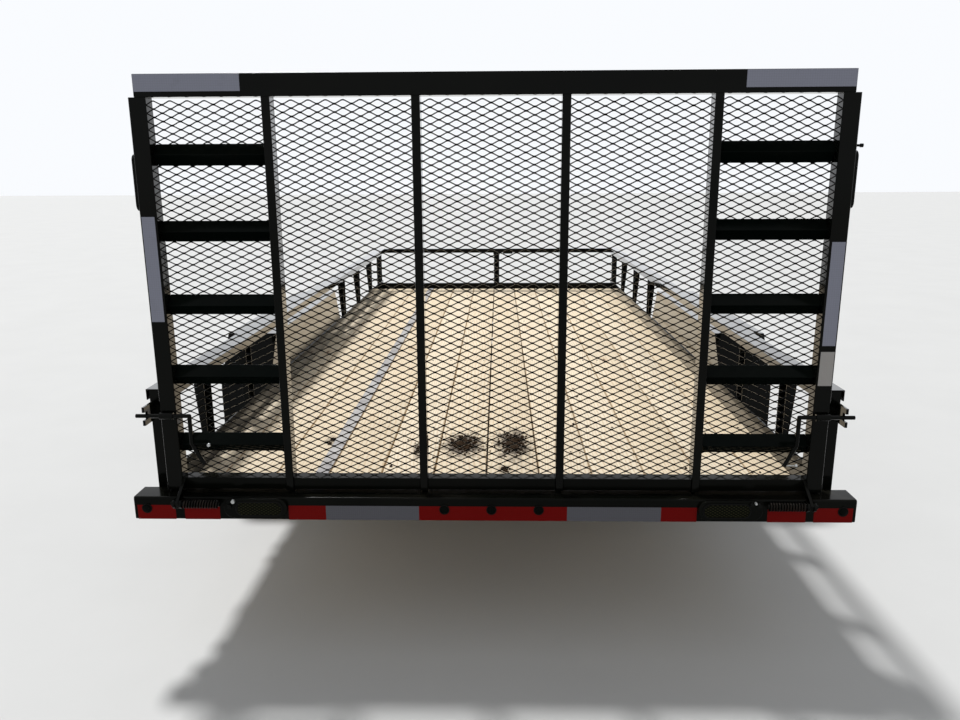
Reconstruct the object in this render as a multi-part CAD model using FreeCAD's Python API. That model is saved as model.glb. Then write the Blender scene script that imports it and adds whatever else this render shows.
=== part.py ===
"""Tandem-axle utility trailer with wood deck, channel side rails and a full-width rear ramp gate.

Millimetres. +X right, +Y forward (towards the coupler), +Z up, ground at Z = 0.
"""
import FreeCAD, Part
import math
import os
from FreeCAD import Vector

# Driving dimensions: deck
DECK_LENGTH = 4877.0
DECK_WIDTH = 2108.0
DECK_HEIGHT = 508.0
BOARD_THICKNESS = 38.0
BOARD_WIDTH = 184.0
BOARD_GAP = 3.0
BOARD_JOINT_X = -21.0
BOARD_END_GAP = 1.0

# Driving dimensions: frame
FRAME_LEG_HIGH = 127.0
FRAME_LEG_WIDE = 76.0
FRAME_WALL = 6.4
CHANNEL_DEPTH = 76.2
CHANNEL_FLANGE = 35.8
CHANNEL_WALL = 4.3
CROSS_PITCH = 610.0
CROSS_FIRST = 178.0
SILL_HEIGHT = 102.0
SILL_FLANGE = 40.0
SILL_ABOVE_DECK = 50.0
BUMPER_END_REACH = 78.5
BUMPER_DEPTH = 88.0
BUMPER_OVERHANG = 44.5
BUMPER_HEIGHT = 76.0
BUMPER_WALL = 4.8
BUMPER_ABOVE_DECK = 46.0

# Driving dimensions: side rails
RAIL_ABOVE_DECK = 370.0
RAIL_OVERHANG = 10.8
RAIL_END_GAP = 6.2
FRONT_CORNER_INSET = 20.0

# Driving dimensions: rear gate
GATE_SIDE_GAP = 13.5
GATE_POST = 50.8
GATE_TUBE_WALL = 3.2
GATE_FOOT_GAP = 6.0
GATE_TOP_ABOVE_DECK = 1316.0
POST_BESIDE_TOP_BAR = 18.0
TOP_BAR_HEIGHT = 63.5
UPRIGHT_FACE = 25.4
UPRIGHT_PITCH = 430.0
BOTTOM_BAR_HEIGHT = 38.1
BOTTOM_BAR_TOP = 92.0
BOTTOM_BAR_SETBACK = 6.4
RUNG_LEG = 48.0
RUNG_WALL = 3.2
RUNG_FIRST_HEIGHT = 199.0
RUNG_BELOW_TOP_BAR = 159.0
RUNG_COUNT = 5
MESH_THICKNESS = 3.0
MESH_MARGIN = 8.0
MESH_DIAMOND_LONG = 152.4
MESH_DIAMOND_SHORT = 70.2
MESH_STRAND = 9.0
SIDE_PLATE_HEIGHT = 165.0
SIDE_PLATE_BELOW_TOP = 220.0
SIDE_PLATE_PROUD = 10.0

# Driving dimensions: gate hinge and its balance springs
HINGE_BEHIND_BUMPER = 17.0
HINGE_ABOVE_DECK = 30.0
HINGE_PIN_RADIUS = 8.0
HINGE_FIT = 0.05
HINGE_LUG_RADIUS = 18.0
GATE_LUG_THICKNESS = 10.0
BASE_LUG_THICKNESS = 8.0
LUG_SIDE_GAP = 1.0
SPRING_RADIUS = 13.0
SPRING_WIRE = 5.0
SPRING_COILS = 13
SPRING_COIL_PITCH = 8.5

# Driving dimensions: gate latch
ROD_RADIUS = 6.5
ROD_ABOVE_DECK = 303.0
ROD_TIP_REACH = 15.8
ROD_BEND_INSET = 96.5
ROD_DROP_LENGTH = 90.0
ROD_HANDLE_LENGTH = 70.0
ROD_SLEEVE_RADIUS = 11.0
KEEPER_THICKNESS = 8.0
KEEPER_CLEARANCE = 6.0
KEEPER_HEIGHT = 60.0
KEEPER_INSET = 8.0
KEEPER_PAST_ROD = 3.0

# Driving dimensions: running gear
AXLE_GROUP_Y = 2085.0
AXLE_SPACING = 865.0
TYRE_RADIUS = 344.0
TYRE_WIDTH = 203.0
TYRE_WALL = 11.0
TREAD_WIDTH = 160.0
RIM_RADIUS = 190.5
RIM_WIDTH = 140.0
RIM_WALL = 3.5
TYRE_SIDE_GAP = 18.0
AXLE_TUBE_RADIUS = 38.0
AXLE_DROP = 102.0
SPINDLE_RADIUS = 17.5
SPINDLE_FIT = 0.05
DRUM_RADIUS = 133.0
DRUM_DEPTH = 62.0
HUB_RADIUS = 41.0
HUB_CAP_LENGTH = 48.0
LUG_NUT_CIRCLE = 57.15
LUG_NUT_RADIUS = 10.5
LUG_NUT_COUNT = 5
SPRING_LENGTH = 641.0
LEAF_WIDTH = 45.0
LEAF_THICKNESS = 7.0
LEAF_SHARES = (1.0, 0.82, 0.6, 0.38)
LEAF_SAG = 24.0
EYE_RADIUS = 16.0
EYE_BOLT_RADIUS = 7.0
EYE_FIT = 0.3
SPRING_INSET = 46.0
HANGER_PLATE = 6.0
HANGER_WIDTH = 60.0
EQUALIZER_ARM = 70.0
EQUALIZER_THICKNESS = 22.0
UBOLT_RADIUS = 6.0
UBOLT_GAP = 2.0
TIE_PLATE_GAP = 0.8
TIE_PLATE_THICKNESS = 8.0

# Driving dimensions: fenders
FENDER_BEYOND_TYRE = 13.6
FENDER_ABOVE_DECK = 285.0
FENDER_TOP_LENGTH = 1400.0
FENDER_SLOPE_RUN = 150.0
FENDER_SLOPE_END = 60.0
FENDER_FOOT = -150.0
FENDER_BACK_FOOT = -60.0
FENDER_SHEET = 3.0
FENDER_LIP = 40.0

# Driving dimensions: tongue
TONGUE_LENGTH = 1220.0
TONGUE_HALF_ANGLE = 25.0
TONGUE_HEIGHT = 102.0
TONGUE_FLANGE = 40.0
TONGUE_WALL = 5.0
TONGUE_TAIL = 760.0
BALL_RADIUS = 29.4
BALL_FIT = 0.6
SOCKET_WALL = 5.0
SOCKET_SKIRT = 16.0
COUPLER_THROAT = 150.0
JACK_OUTER_RADIUS = 28.5
JACK_INNER_RADIUS = 24.0
JACK_FROM_BALL = 330.0
JACK_TUBE_TOP = 790.0
JACK_TUBE_LENGTH = 560.0
JACK_FOOT_SIZE = 130.0
JACK_FOOT_THICKNESS = 6.0
JACK_PLATE_HALF = 60.0
JACK_PLATE_THICKNESS = 10.0
GEAR_HEAD_HALF = 34.0
GEAR_HEAD_HEIGHT = 52.0
CRANK_X = 71.0
CRANK_ARM = 140.0
CRANK_GRIP = 90.0
CRANK_GRIP_RADIUS = 9.0

# Driving dimensions: safety chains
CHAIN_LINKS = 13
CHAIN_SPAN = 300.0
CHAIN_SAG = 120.0
CHAIN_WIRE = 8.0
CHAIN_LINK_WIDTH = 34.0
CHAIN_START = 190.0

# Driving dimensions: lamps
GUARD_LENGTH = 200.0
GUARD_HEIGHT = 66.0
GUARD_DEPTH = 12.0
GUARD_FROM_END = 390.0
OVAL_LENGTH = 150.0
OVAL_HEIGHT = 50.0
OVAL_FROM_END = 402.0
OVAL_PROUD = 6.0
MARKER_RADIUS = 16.0
MARKER_PROUD = 6.0
MARKER_PITCH = 148.0
CORNER_MARKER_INSET = 40.5

# Driving dimensions: side stakes, by the place of each stake's middle
STAKE_SECOND_Y = 458.0
STAKE_BEFORE_FENDER = 285.0
STAKE_PAST_FENDER = 165.0
STAKES_AHEAD = 3
STAKE_FOOT_DEPTH = 9.0
STAKE_TAPER_TOP = 270.0

# Tandem wheels: name, side (-1 left, +1 right), row (-1 rear axle, +1 front axle)
WHEELS = (
    ("front_left", -1, 1),
    ("front_right", 1, 1),
    ("rear_left", -1, -1),
    ("rear_right", 1, -1),
)

# Places that follow from the driving dimensions
BUMPER_REAR = -BUMPER_OVERHANG
BUMPER_FRONT = BUMPER_REAR + BUMPER_DEPTH
DECK_REAR = BUMPER_FRONT
DECK_FRONT = DECK_REAR + DECK_LENGTH
HINGE_Y = BUMPER_REAR - HINGE_BEHIND_BUMPER
REAR_REACH = HINGE_Y - SPRING_RADIUS + SPRING_WIRE / 2 - SPRING_COIL_PITCH / 2
BALL_Y = DECK_FRONT + TONGUE_LENGTH
NOSE_Y = BALL_Y + BALL_RADIUS + BALL_FIT + SOCKET_WALL
ORIGIN_Y = (REAR_REACH + NOSE_Y) / 2

FRAME_IN = DECK_WIDTH / 2
FRAME_OUT = FRAME_IN + FRAME_WALL
FRAME_TOP = DECK_HEIGHT - BOARD_THICKNESS - FRAME_WALL + FRAME_LEG_HIGH
BOARD_BOTTOM = DECK_HEIGHT - BOARD_THICKNESS
LEG_BOTTOM = BOARD_BOTTOM - FRAME_WALL
CROSS_BOTTOM = BOARD_BOTTOM - CHANNEL_DEPTH
STAKE_OUT = FRAME_OUT + CHANNEL_FLANGE
RAIL_TOP = DECK_HEIGHT + RAIL_ABOVE_DECK
RAIL_OUT = STAKE_OUT + RAIL_OVERHANG
RAIL_IN = RAIL_OUT - CHANNEL_DEPTH
BUMPER_TOP = DECK_HEIGHT + BUMPER_ABOVE_DECK
BUMPER_BOTTOM = BUMPER_TOP - BUMPER_HEIGHT

GATE_HALF = DECK_WIDTH / 2 - GATE_SIDE_GAP
TOP_BAR_HALF = GATE_HALF - POST_BESIDE_TOP_BAR
BUMPER_HALF = DECK_WIDTH / 2 + BUMPER_END_REACH
GATE_FOOT = BUMPER_TOP + GATE_FOOT_GAP
GATE_TOP = DECK_HEIGHT + GATE_TOP_ABOVE_DECK
TOP_BAR_BOTTOM = GATE_TOP - TOP_BAR_HEIGHT
GATE_FRONT = GATE_POST
RAIL_REAR = GATE_FRONT + MESH_THICKNESS + RAIL_END_GAP
HINGE_Z = DECK_HEIGHT + HINGE_ABOVE_DECK
LUG_X = GATE_HALF - GATE_POST - GATE_LUG_THICKNESS / 2
RUNG_RISE = GATE_TOP_ABOVE_DECK - TOP_BAR_HEIGHT - RUNG_BELOW_TOP_BAR - RUNG_FIRST_HEIGHT
RUNG_PITCH = RUNG_RISE / (RUNG_COUNT - 1)
ROD_TIP_X = STAKE_OUT + ROD_TIP_REACH
ROD_BEND_X = GATE_HALF - ROD_BEND_INSET

TYRE_MIDDLE_X = FRAME_OUT + TYRE_SIDE_GAP + TYRE_WIDTH / 2
FENDER_OUTER_X = TYRE_MIDDLE_X + TYRE_WIDTH / 2 + FENDER_BEYOND_TYRE
FENDER_HALF = FENDER_TOP_LENGTH / 2 + FENDER_SLOPE_RUN
WHEEL_Z = TYRE_RADIUS
TUBE_Z = WHEEL_Z - AXLE_DROP
SPRING_X = FRAME_OUT - SPRING_INSET
SEAT_TOP = TUBE_Z + AXLE_TUBE_RADIUS + 8.0
PACK_HEIGHT = LEAF_THICKNESS * len(LEAF_SHARES)
EYE_Z = SEAT_TOP + PACK_HEIGHT + LEAF_SAG + EYE_RADIUS - LEAF_THICKNESS
TONGUE_TOP = CROSS_BOTTOM
TONGUE_BOTTOM = TONGUE_TOP - TONGUE_HEIGHT


def box(x0, x1, y0, y1, z0, z1):
    """A block between the given places, whichever way round they come."""
    low = Vector(min(x0, x1), min(y0, y1), min(z0, z1))
    return Part.makeBox(abs(x1 - x0), abs(y1 - y0), abs(z1 - z0), low)


def prism(points, axis, start, end):
    """A polygon in the plane across one axis, drawn out from start to end along it."""
    place = {
        "x": lambda u, v: Vector(start, u, v),
        "y": lambda u, v: Vector(u, start, v),
        "z": lambda u, v: Vector(u, v, start),
    }[axis]
    way = {"x": Vector(1, 0, 0), "y": Vector(0, 1, 0), "z": Vector(0, 0, 1)}[axis]
    corners = [place(u, v) for u, v in points]
    wire = Part.makePolygon(corners + corners[:1])
    return Part.Face(wire).extrude(way * (end - start))


def rod(start, end, radius):
    """A round bar between two points."""
    run = end - start
    return Part.makeCylinder(radius, run.Length, start, run)


def fuse(shapes):
    """One solid from touching or overlapping shapes."""
    return shapes[0].multiFuse(shapes[1:]).removeSplitter()


def mirrored(shape):
    """The same piece on the other side of the trailer."""
    return shape.mirror(Vector(0, 0, 0), Vector(1, 0, 0))


def sided(shape, side):
    """A piece modelled on the right, put on the side wanted."""
    return shape if side > 0 else mirrored(shape)


def save(node, solids):
    """Writes one sub-part, moved so that Y = 0 is the middle of the trailer's length."""
    shape = solids[0] if len(solids) == 1 else Part.makeCompound(solids)
    shape = shape.copy()
    shape.translate(Vector(0, -ORIGIN_Y, 0))
    shape.exportStep("parts/%s.step" % node)


def channel_points(depth, flange, wall):
    """A channel's section: web on the line v = 0, flanges towards +v, u across the web."""
    half = depth / 2
    return [
        (-half, 0),
        (half, 0),
        (half, flange),
        (half - wall, flange),
        (half - wall, wall),
        (wall - half, wall),
        (wall - half, flange),
        (-half, flange),
    ]


def tube(x0, x1, y0, y1, z0, z1, wall, axis):
    """A square or oblong tube, open at both ends of one axis."""
    outer = box(x0, x1, y0, y1, z0, z1)
    grow = {"x": (1, 0, 0), "y": (0, 1, 0), "z": (0, 0, 1)}[axis]
    inset = [wall * (1 - g) - 1.0 * g for g in grow]
    inner = box(
        min(x0, x1) + inset[0],
        max(x0, x1) - inset[0],
        min(y0, y1) + inset[1],
        max(y0, y1) - inset[1],
        min(z0, z1) + inset[2],
        max(z0, z1) - inset[2],
    )
    return outer.cut(inner)


def side_frame():
    """Main frame angle: tall leg beside the boards, wide leg beneath their ends."""
    points = [
        (FRAME_OUT, LEG_BOTTOM),
        (FRAME_OUT, FRAME_TOP),
        (FRAME_IN, FRAME_TOP),
        (FRAME_IN, BOARD_BOTTOM),
        (FRAME_OUT - FRAME_LEG_WIDE, BOARD_BOTTOM),
        (FRAME_OUT - FRAME_LEG_WIDE, LEG_BOTTOM),
    ]
    return prism(points, "y", DECK_REAR, DECK_FRONT)


def front_sill():
    """Channel across the front of the deck, its web against the boards."""
    middle = DECK_HEIGHT + SILL_ABOVE_DECK - SILL_HEIGHT / 2
    section = channel_points(SILL_HEIGHT, SILL_FLANGE, CHANNEL_WALL)
    points = [(DECK_FRONT + v, middle + u) for u, v in section]
    return prism(points, "x", -FRAME_OUT, FRAME_OUT)


def rear_bumper():
    """Oblong tube across the rear, with lamps, tape and the gate's hinges on its rear face."""
    return tube(
        -BUMPER_HALF,
        BUMPER_HALF,
        BUMPER_REAR,
        BUMPER_FRONT,
        BUMPER_BOTTOM,
        BUMPER_TOP,
        BUMPER_WALL,
        "x",
    )


def cross_members():
    """Channels under the boards, notched at both ends to fit beneath the frame's wide legs."""
    places = []
    y = CROSS_FIRST
    while y < DECK_FRONT - CROSS_PITCH / 4:
        places.append(y)
        y += CROSS_PITCH
    places.append(DECK_FRONT - CHANNEL_FLANGE)
    middle = BOARD_BOTTOM - CHANNEL_DEPTH / 2
    section = channel_points(CHANNEL_DEPTH, CHANNEL_FLANGE, CHANNEL_WALL)
    solids = []
    for place in places:
        points = [(place + v, middle + u) for u, v in section]
        bar = prism(points, "x", -FRAME_IN, FRAME_IN)
        for side in (-1, 1):
            notch = box(
                side * (FRAME_OUT - FRAME_LEG_WIDE),
                side * FRAME_OUT,
                place - 1,
                place + CHANNEL_FLANGE + 1,
                LEG_BOTTOM,
                BOARD_BOTTOM + 1,
            )
            bar = bar.cut(notch)
        solids.append(bar)
    return solids


def deck_boards():
    """Planks laid lengthwise, full width in the middle and ripped to fit at both sides."""
    pitch = BOARD_WIDTH + BOARD_GAP
    edges = []
    joint = BOARD_JOINT_X - pitch * math.ceil((FRAME_IN + BOARD_JOINT_X) / pitch)
    while joint < FRAME_IN:
        low = max(joint + BOARD_GAP / 2, -FRAME_IN)
        high = min(joint + pitch - BOARD_GAP / 2, FRAME_IN)
        if high - low > BOARD_GAP:
            edges.append((low, high))
        joint += pitch
    rear = DECK_REAR + BOARD_END_GAP
    front = DECK_FRONT - BOARD_END_GAP
    return [box(low, high, rear, front, BOARD_BOTTOM, DECK_HEIGHT) for low, high in edges]


def side_rail():
    """Top rail: a channel laid flat over the stakes, open side down."""
    middle = (RAIL_IN + RAIL_OUT) / 2
    section = channel_points(CHANNEL_DEPTH, CHANNEL_FLANGE, CHANNEL_WALL)
    points = [(middle + u, RAIL_TOP - v) for u, v in section]
    return prism(points, "y", RAIL_REAR, DECK_FRONT + SILL_FLANGE)


def front_rail():
    """Top rail across the front, between the two side rails."""
    middle = DECK_FRONT + SILL_FLANGE - CHANNEL_DEPTH / 2
    section = channel_points(CHANNEL_DEPTH, CHANNEL_FLANGE, CHANNEL_WALL)
    points = [(middle + u, RAIL_TOP - v) for u, v in section]
    return prism(points, "x", -RAIL_IN, RAIL_IN)


def corner_stake(middle_y):
    """Upright channel, its web on the outside, its flanges against the frame."""
    section = channel_points(CHANNEL_DEPTH, CHANNEL_FLANGE, CHANNEL_WALL)
    points = [(STAKE_OUT - v, middle_y + u) for u, v in section]
    return prism(points, "z", LEG_BOTTOM, RAIL_TOP - CHANNEL_WALL)


def stake(middle_y):
    """Formed upright: a channel whose web slants in towards the frame at its foot."""

    def side(inset):
        return [
            (FRAME_OUT - inset, LEG_BOTTOM),
            (FRAME_OUT + STAKE_FOOT_DEPTH - inset, LEG_BOTTOM),
            (STAKE_OUT - inset, DECK_HEIGHT + STAKE_TAPER_TOP),
            (STAKE_OUT - inset, RAIL_TOP - CHANNEL_WALL),
            (FRAME_OUT - inset, RAIL_TOP - CHANNEL_WALL),
        ]

    half = CHANNEL_DEPTH / 2
    full = prism(side(0), "y", middle_y - half, middle_y + half)
    hollow_half = half - CHANNEL_WALL
    return full.cut(prism(side(CHANNEL_WALL), "y", middle_y - hollow_half, middle_y + hollow_half))


def side_stakes():
    """The rear post beside the gate, the stakes along the frame, and the front corner post."""
    places = [
        STAKE_SECOND_Y,
        AXLE_GROUP_Y - FENDER_HALF - STAKE_BEFORE_FENDER,
    ]
    first = AXLE_GROUP_Y + FENDER_HALF + STAKE_PAST_FENDER
    corner = DECK_FRONT - FRONT_CORNER_INSET - CHANNEL_DEPTH / 2
    for step in range(STAKES_AHEAD):
        places.append(first + (corner - first) * step / STAKES_AHEAD)
    corners = [corner_stake(middle_y) for middle_y in (RAIL_REAR + CHANNEL_DEPTH / 2, corner)]
    return corners + [stake(middle_y) for middle_y in places]


def latch_keeper():
    """Plate out from the rear post, notched from the rear for the latch rod to lie in."""
    z = DECK_HEIGHT + ROD_ABOVE_DECK
    rod_y = -ROD_SLEEVE_RADIUS
    reach = ROD_RADIUS + KEEPER_CLEARANCE
    inner_x = STAKE_OUT - KEEPER_INSET - KEEPER_THICKNESS
    outer_x = STAKE_OUT - KEEPER_INSET
    low = z - KEEPER_HEIGHT / 2
    high = z + KEEPER_HEIGHT / 2
    plate = box(inner_x, outer_x, rod_y - ROD_RADIUS - KEEPER_PAST_ROD, RAIL_REAR, low, high)
    slot = box(inner_x - 1, outer_x + 1, rod_y - 3 * reach, rod_y + reach, z - reach, z + reach)
    return plate.cut(slot)


def tongue_rail():
    """Right rail of the A-frame: a channel on edge, open side inwards, under the cross-members."""
    slope = math.radians(TONGUE_HALF_ANGLE)
    tip = Vector(TONGUE_FLANGE + TONGUE_WALL, BALL_Y - COUPLER_THROAT / 2, 0)
    back = (tip.y - DECK_FRONT + TONGUE_TAIL) / math.cos(slope)
    middle = (TONGUE_TOP + TONGUE_BOTTOM) / 2
    section = channel_points(TONGUE_HEIGHT, TONGUE_FLANGE, TONGUE_WALL)
    points = [(-v, middle + u) for u, v in section]
    bar = prism(points, "y", -back, COUPLER_THROAT)
    bar.rotate(Vector(0, 0, 0), Vector(0, 0, 1), TONGUE_HALF_ANGLE)
    bar.translate(tip)
    nose = box(-TONGUE_HEIGHT * 4, TONGUE_HEIGHT * 4, tip.y, NOSE_Y + COUPLER_THROAT, 0, RAIL_TOP)
    side = box(-FRAME_OUT, 0, -FRAME_OUT, NOSE_Y, 0, RAIL_TOP)
    return bar.cut(nose).cut(side)


def coupler():
    """Ball coupler: a domed socket, and a channel body that spreads back over the rails."""
    inner = BALL_RADIUS + BALL_FIT
    outer = inner + SOCKET_WALL
    top = TONGUE_TOP + SOCKET_SKIRT
    low = top - outer
    dome = Part.makeSphere(outer, Vector(0, BALL_Y, top))
    skirt = Part.makeCylinder(outer, SOCKET_SKIRT, Vector(0, BALL_Y, top - SOCKET_SKIRT))
    cap = dome.cut(box(-outer, outer, BALL_Y - outer, BALL_Y + outer, low, top))
    spread = math.tan(math.radians(TONGUE_HALF_ANGLE))
    rear_y = BALL_Y - COUPLER_THROAT * 1.6
    rear_half = (BALL_Y - rear_y) * spread + TONGUE_FLANGE * 0.6
    neck = outer * 0.8
    points = [
        (-neck, BALL_Y),
        (neck, BALL_Y),
        (rear_half, rear_y),
        (-rear_half, rear_y),
    ]
    body = prism(points, "z", TONGUE_TOP, TONGUE_TOP + SOCKET_SKIRT)
    ball = Part.makeSphere(inner, Vector(0, BALL_Y, top))
    drill = Part.makeCylinder(inner, TONGUE_HEIGHT, Vector(0, BALL_Y, top - TONGUE_HEIGHT))
    solid = fuse([cap, skirt, body])
    return solid.cut(ball).cut(drill)


def coupler_latch():
    """Lever over the socket that locks the ball."""
    top = TONGUE_TOP + SOCKET_SKIRT
    start_y = BALL_Y - COUPLER_THROAT * 0.4
    pivot = box(-8, 8, start_y - 30, start_y, top, top + 34)
    lever = box(-12, 12, start_y - COUPLER_THROAT * 0.9, start_y + 6, top + 34, top + 40)
    return fuse([pivot, lever])


def jack_place():
    """The jack stands on the centre line, in the A-frame's throat."""
    return BALL_Y - JACK_FROM_BALL


def jack_tube():
    """Outer tube of the tongue jack, its mounting plate, gear head and crank."""
    y = jack_place()
    bottom = JACK_TUBE_TOP - JACK_TUBE_LENGTH
    shell = rod(Vector(0, y, bottom), Vector(0, y, JACK_TUBE_TOP), JACK_OUTER_RADIUS)
    bore = rod(
        Vector(0, y, bottom - 1),
        Vector(0, y, JACK_TUBE_TOP - GEAR_HEAD_HEIGHT),
        JACK_INNER_RADIUS + EYE_FIT,
    )
    spread = math.tan(math.radians(TONGUE_HALF_ANGLE))
    front_y = y + JACK_PLATE_HALF
    rear_y = y - JACK_PLATE_HALF
    points = [
        (-(BALL_Y - front_y) * spread, front_y),
        ((BALL_Y - front_y) * spread, front_y),
        ((BALL_Y - rear_y) * spread, rear_y),
        (-(BALL_Y - rear_y) * spread, rear_y),
    ]
    plate = prism(points, "z", TONGUE_TOP, TONGUE_TOP + JACK_PLATE_THICKNESS)
    half = GEAR_HEAD_HALF
    low = JACK_TUBE_TOP - GEAR_HEAD_HEIGHT
    head = box(-half, half, y - half, y + half, low, JACK_TUBE_TOP)
    cap = rod(Vector(0, y, JACK_TUBE_TOP), Vector(0, y, JACK_TUBE_TOP + 6), half - 4)
    shaft_z = JACK_TUBE_TOP - GEAR_HEAD_HEIGHT / 2
    hand_y = y - CRANK_ARM
    shaft = rod(Vector(half - 4, y, shaft_z), Vector(CRANK_X + 4, y, shaft_z), 7)
    arm = box(CRANK_X - 4, CRANK_X + 4, hand_y - 10, y + 12, shaft_z - 10, shaft_z + 10)
    grip = rod(
        Vector(CRANK_X, hand_y, shaft_z),
        Vector(CRANK_X + CRANK_GRIP, hand_y, shaft_z),
        CRANK_GRIP_RADIUS,
    )
    body = fuse([shell, plate, head, cap, shaft, arm, grip])
    return body.cut(bore)


def jack_leg():
    """Inner leg of the jack, run out to its foot on the ground."""
    y = jack_place()
    half = JACK_FOOT_SIZE / 2
    leg = rod(Vector(0, y, JACK_FOOT_THICKNESS), Vector(0, y, TONGUE_TOP + 60), JACK_INNER_RADIUS)
    foot = box(-half, half, y - half, y + half, 0, JACK_FOOT_THICKNESS)
    return fuse([leg, foot])


def chain_link(middle, run, turned, half_length):
    """One link: a flattened ring in the plane of its run, upright or turned flat."""
    half_width = CHAIN_LINK_WIDTH / 2
    flat = half_length - half_width
    ring = Part.makeBox(2 * flat, CHAIN_LINK_WIDTH, CHAIN_WIRE, Vector(-flat, -half_width, -CHAIN_WIRE / 2))
    inner = half_width - CHAIN_WIRE
    hole = Part.makeBox(2 * flat, 2 * inner, 2 * CHAIN_WIRE, Vector(-flat, -inner, -CHAIN_WIRE))
    for end in (-1, 1):
        foot = Vector(end * flat, 0, -CHAIN_WIRE / 2)
        ring = ring.fuse(Part.makeCylinder(half_width, CHAIN_WIRE, foot))
        hole = hole.fuse(Part.makeCylinder(inner, 2 * CHAIN_WIRE, foot - Vector(0, 0, CHAIN_WIRE / 2)))
    link = ring.cut(hole)
    if turned:
        link.rotate(Vector(0, 0, 0), Vector(1, 0, 0), 90)
    climb = math.degrees(math.atan2(run.z, math.hypot(run.x, run.y)))
    link.rotate(Vector(0, 0, 0), Vector(0, 1, 0), -climb)
    link.rotate(Vector(0, 0, 0), Vector(0, 0, 1), math.degrees(math.atan2(run.y, run.x)))
    link.translate(middle)
    return link


def safety_chain():
    """Right safety chain, hung in a loop below its tongue rail between an eye and a hook."""
    slope = math.radians(TONGUE_HALF_ANGLE)
    along = Vector(math.sin(slope), -math.cos(slope), 0)
    tip = Vector(TONGUE_FLANGE + TONGUE_WALL, BALL_Y - COUPLER_THROAT / 2, 0)
    outward = Vector(math.cos(slope), math.sin(slope), 0)
    start = tip + along * CHAIN_START - outward * (TONGUE_FLANGE / 2)
    top = TONGUE_BOTTOM - 1.5 * CHAIN_WIRE
    places = []
    for index in range(CHAIN_LINKS + 1):
        share = index / CHAIN_LINKS
        drop = 4 * CHAIN_SAG * share * (1 - share)
        places.append(start + along * (CHAIN_SPAN * share) + Vector(0, 0, top - drop))
    pieces = []
    for index in range(CHAIN_LINKS):
        run = places[index + 1] - places[index]
        middle = (places[index + 1] + places[index]) * 0.5
        half_length = run.Length / 2 + CHAIN_WIRE * 0.9
        pieces.append(chain_link(middle, run, index % 2 == 1, half_length))
    for place in (places[0], places[-1]):
        eye_foot = place - Vector(0, 0, CHAIN_WIRE)
        eye_top = Vector(place.x, place.y, TONGUE_BOTTOM)
        pieces.append(rod(eye_foot, eye_top, CHAIN_WIRE))
    return fuse(pieces)


def fender():
    """Tandem fender: sheet top with sloped ends, a lip along its outer edge, and a back plate."""
    half_top = FENDER_TOP_LENGTH / 2
    half_foot = FENDER_HALF
    top = DECK_HEIGHT + FENDER_ABOVE_DECK
    knee = DECK_HEIGHT + FENDER_SLOPE_END
    foot = DECK_HEIGHT + FENDER_FOOT

    def outline(inset):
        rise = inset * 0.55
        return [
            (AXLE_GROUP_Y - half_foot + inset, foot),
            (AXLE_GROUP_Y - half_foot + inset, knee - rise * 0.5),
            (AXLE_GROUP_Y - half_top + rise, top - inset),
            (AXLE_GROUP_Y + half_top - rise, top - inset),
            (AXLE_GROUP_Y + half_foot - inset, knee - rise * 0.5),
            (AXLE_GROUP_Y + half_foot - inset, foot),
        ]

    full = prism(outline(0), "x", FRAME_OUT, FENDER_OUTER_X)
    sheet = FENDER_SHEET
    hollow = prism(outline(sheet), "x", FRAME_OUT + sheet, FENDER_OUTER_X - sheet)
    mouth = prism(outline(FENDER_LIP), "x", FENDER_OUTER_X - 2 * sheet, FENDER_OUTER_X + 1)
    under = box(
        FRAME_OUT + FENDER_SHEET,
        FENDER_OUTER_X + 1,
        AXLE_GROUP_Y - half_foot + FENDER_SHEET,
        AXLE_GROUP_Y + half_foot - FENDER_SHEET,
        foot - 1,
        foot + 1,
    )
    low_back = box(
        FRAME_OUT - 1,
        FRAME_OUT + FENDER_SHEET + 1,
        AXLE_GROUP_Y - half_foot + FENDER_SHEET,
        AXLE_GROUP_Y + half_foot - FENDER_SHEET,
        foot - 1,
        DECK_HEIGHT + FENDER_BACK_FOOT,
    )
    return full.cut(hollow).cut(mouth).cut(under).cut(low_back)


def axle(row):
    """Dropped axle: tube, spring seats, end brackets, spindles and brake backing plates."""
    y = AXLE_GROUP_Y + row * AXLE_SPACING / 2
    tube_half = SPRING_X + LEAF_WIDTH / 2 + UBOLT_GAP + 2 * UBOLT_RADIUS + 3
    pieces = [rod(Vector(-tube_half, y, TUBE_Z), Vector(tube_half, y, TUBE_Z), AXLE_TUBE_RADIUS)]
    plate_x = TYRE_MIDDLE_X - DRUM_DEPTH - 26
    for side in (-1, 1):
        bracket = box(
            side * (tube_half - 2),
            side * (tube_half + 12),
            y - 32,
            y + 32,
            TUBE_Z - 30,
            WHEEL_Z + 30,
        )
        seat = box(
            side * (SPRING_X - 30),
            side * (SPRING_X + 22),
            y - 34,
            y + 34,
            TUBE_Z,
            SEAT_TOP,
        )
        spindle = rod(
            Vector(side * (tube_half + 4), y, WHEEL_Z),
            Vector(side * (TYRE_MIDDLE_X + 26), y, WHEEL_Z),
            SPINDLE_RADIUS,
        )
        backing = rod(
            Vector(side * plate_x, y, WHEEL_Z),
            Vector(side * (plate_x + 4), y, WHEEL_Z),
            DRUM_RADIUS + 2,
        )
        pieces += [bracket, seat, spindle, backing]
    return fuse(pieces)


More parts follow.
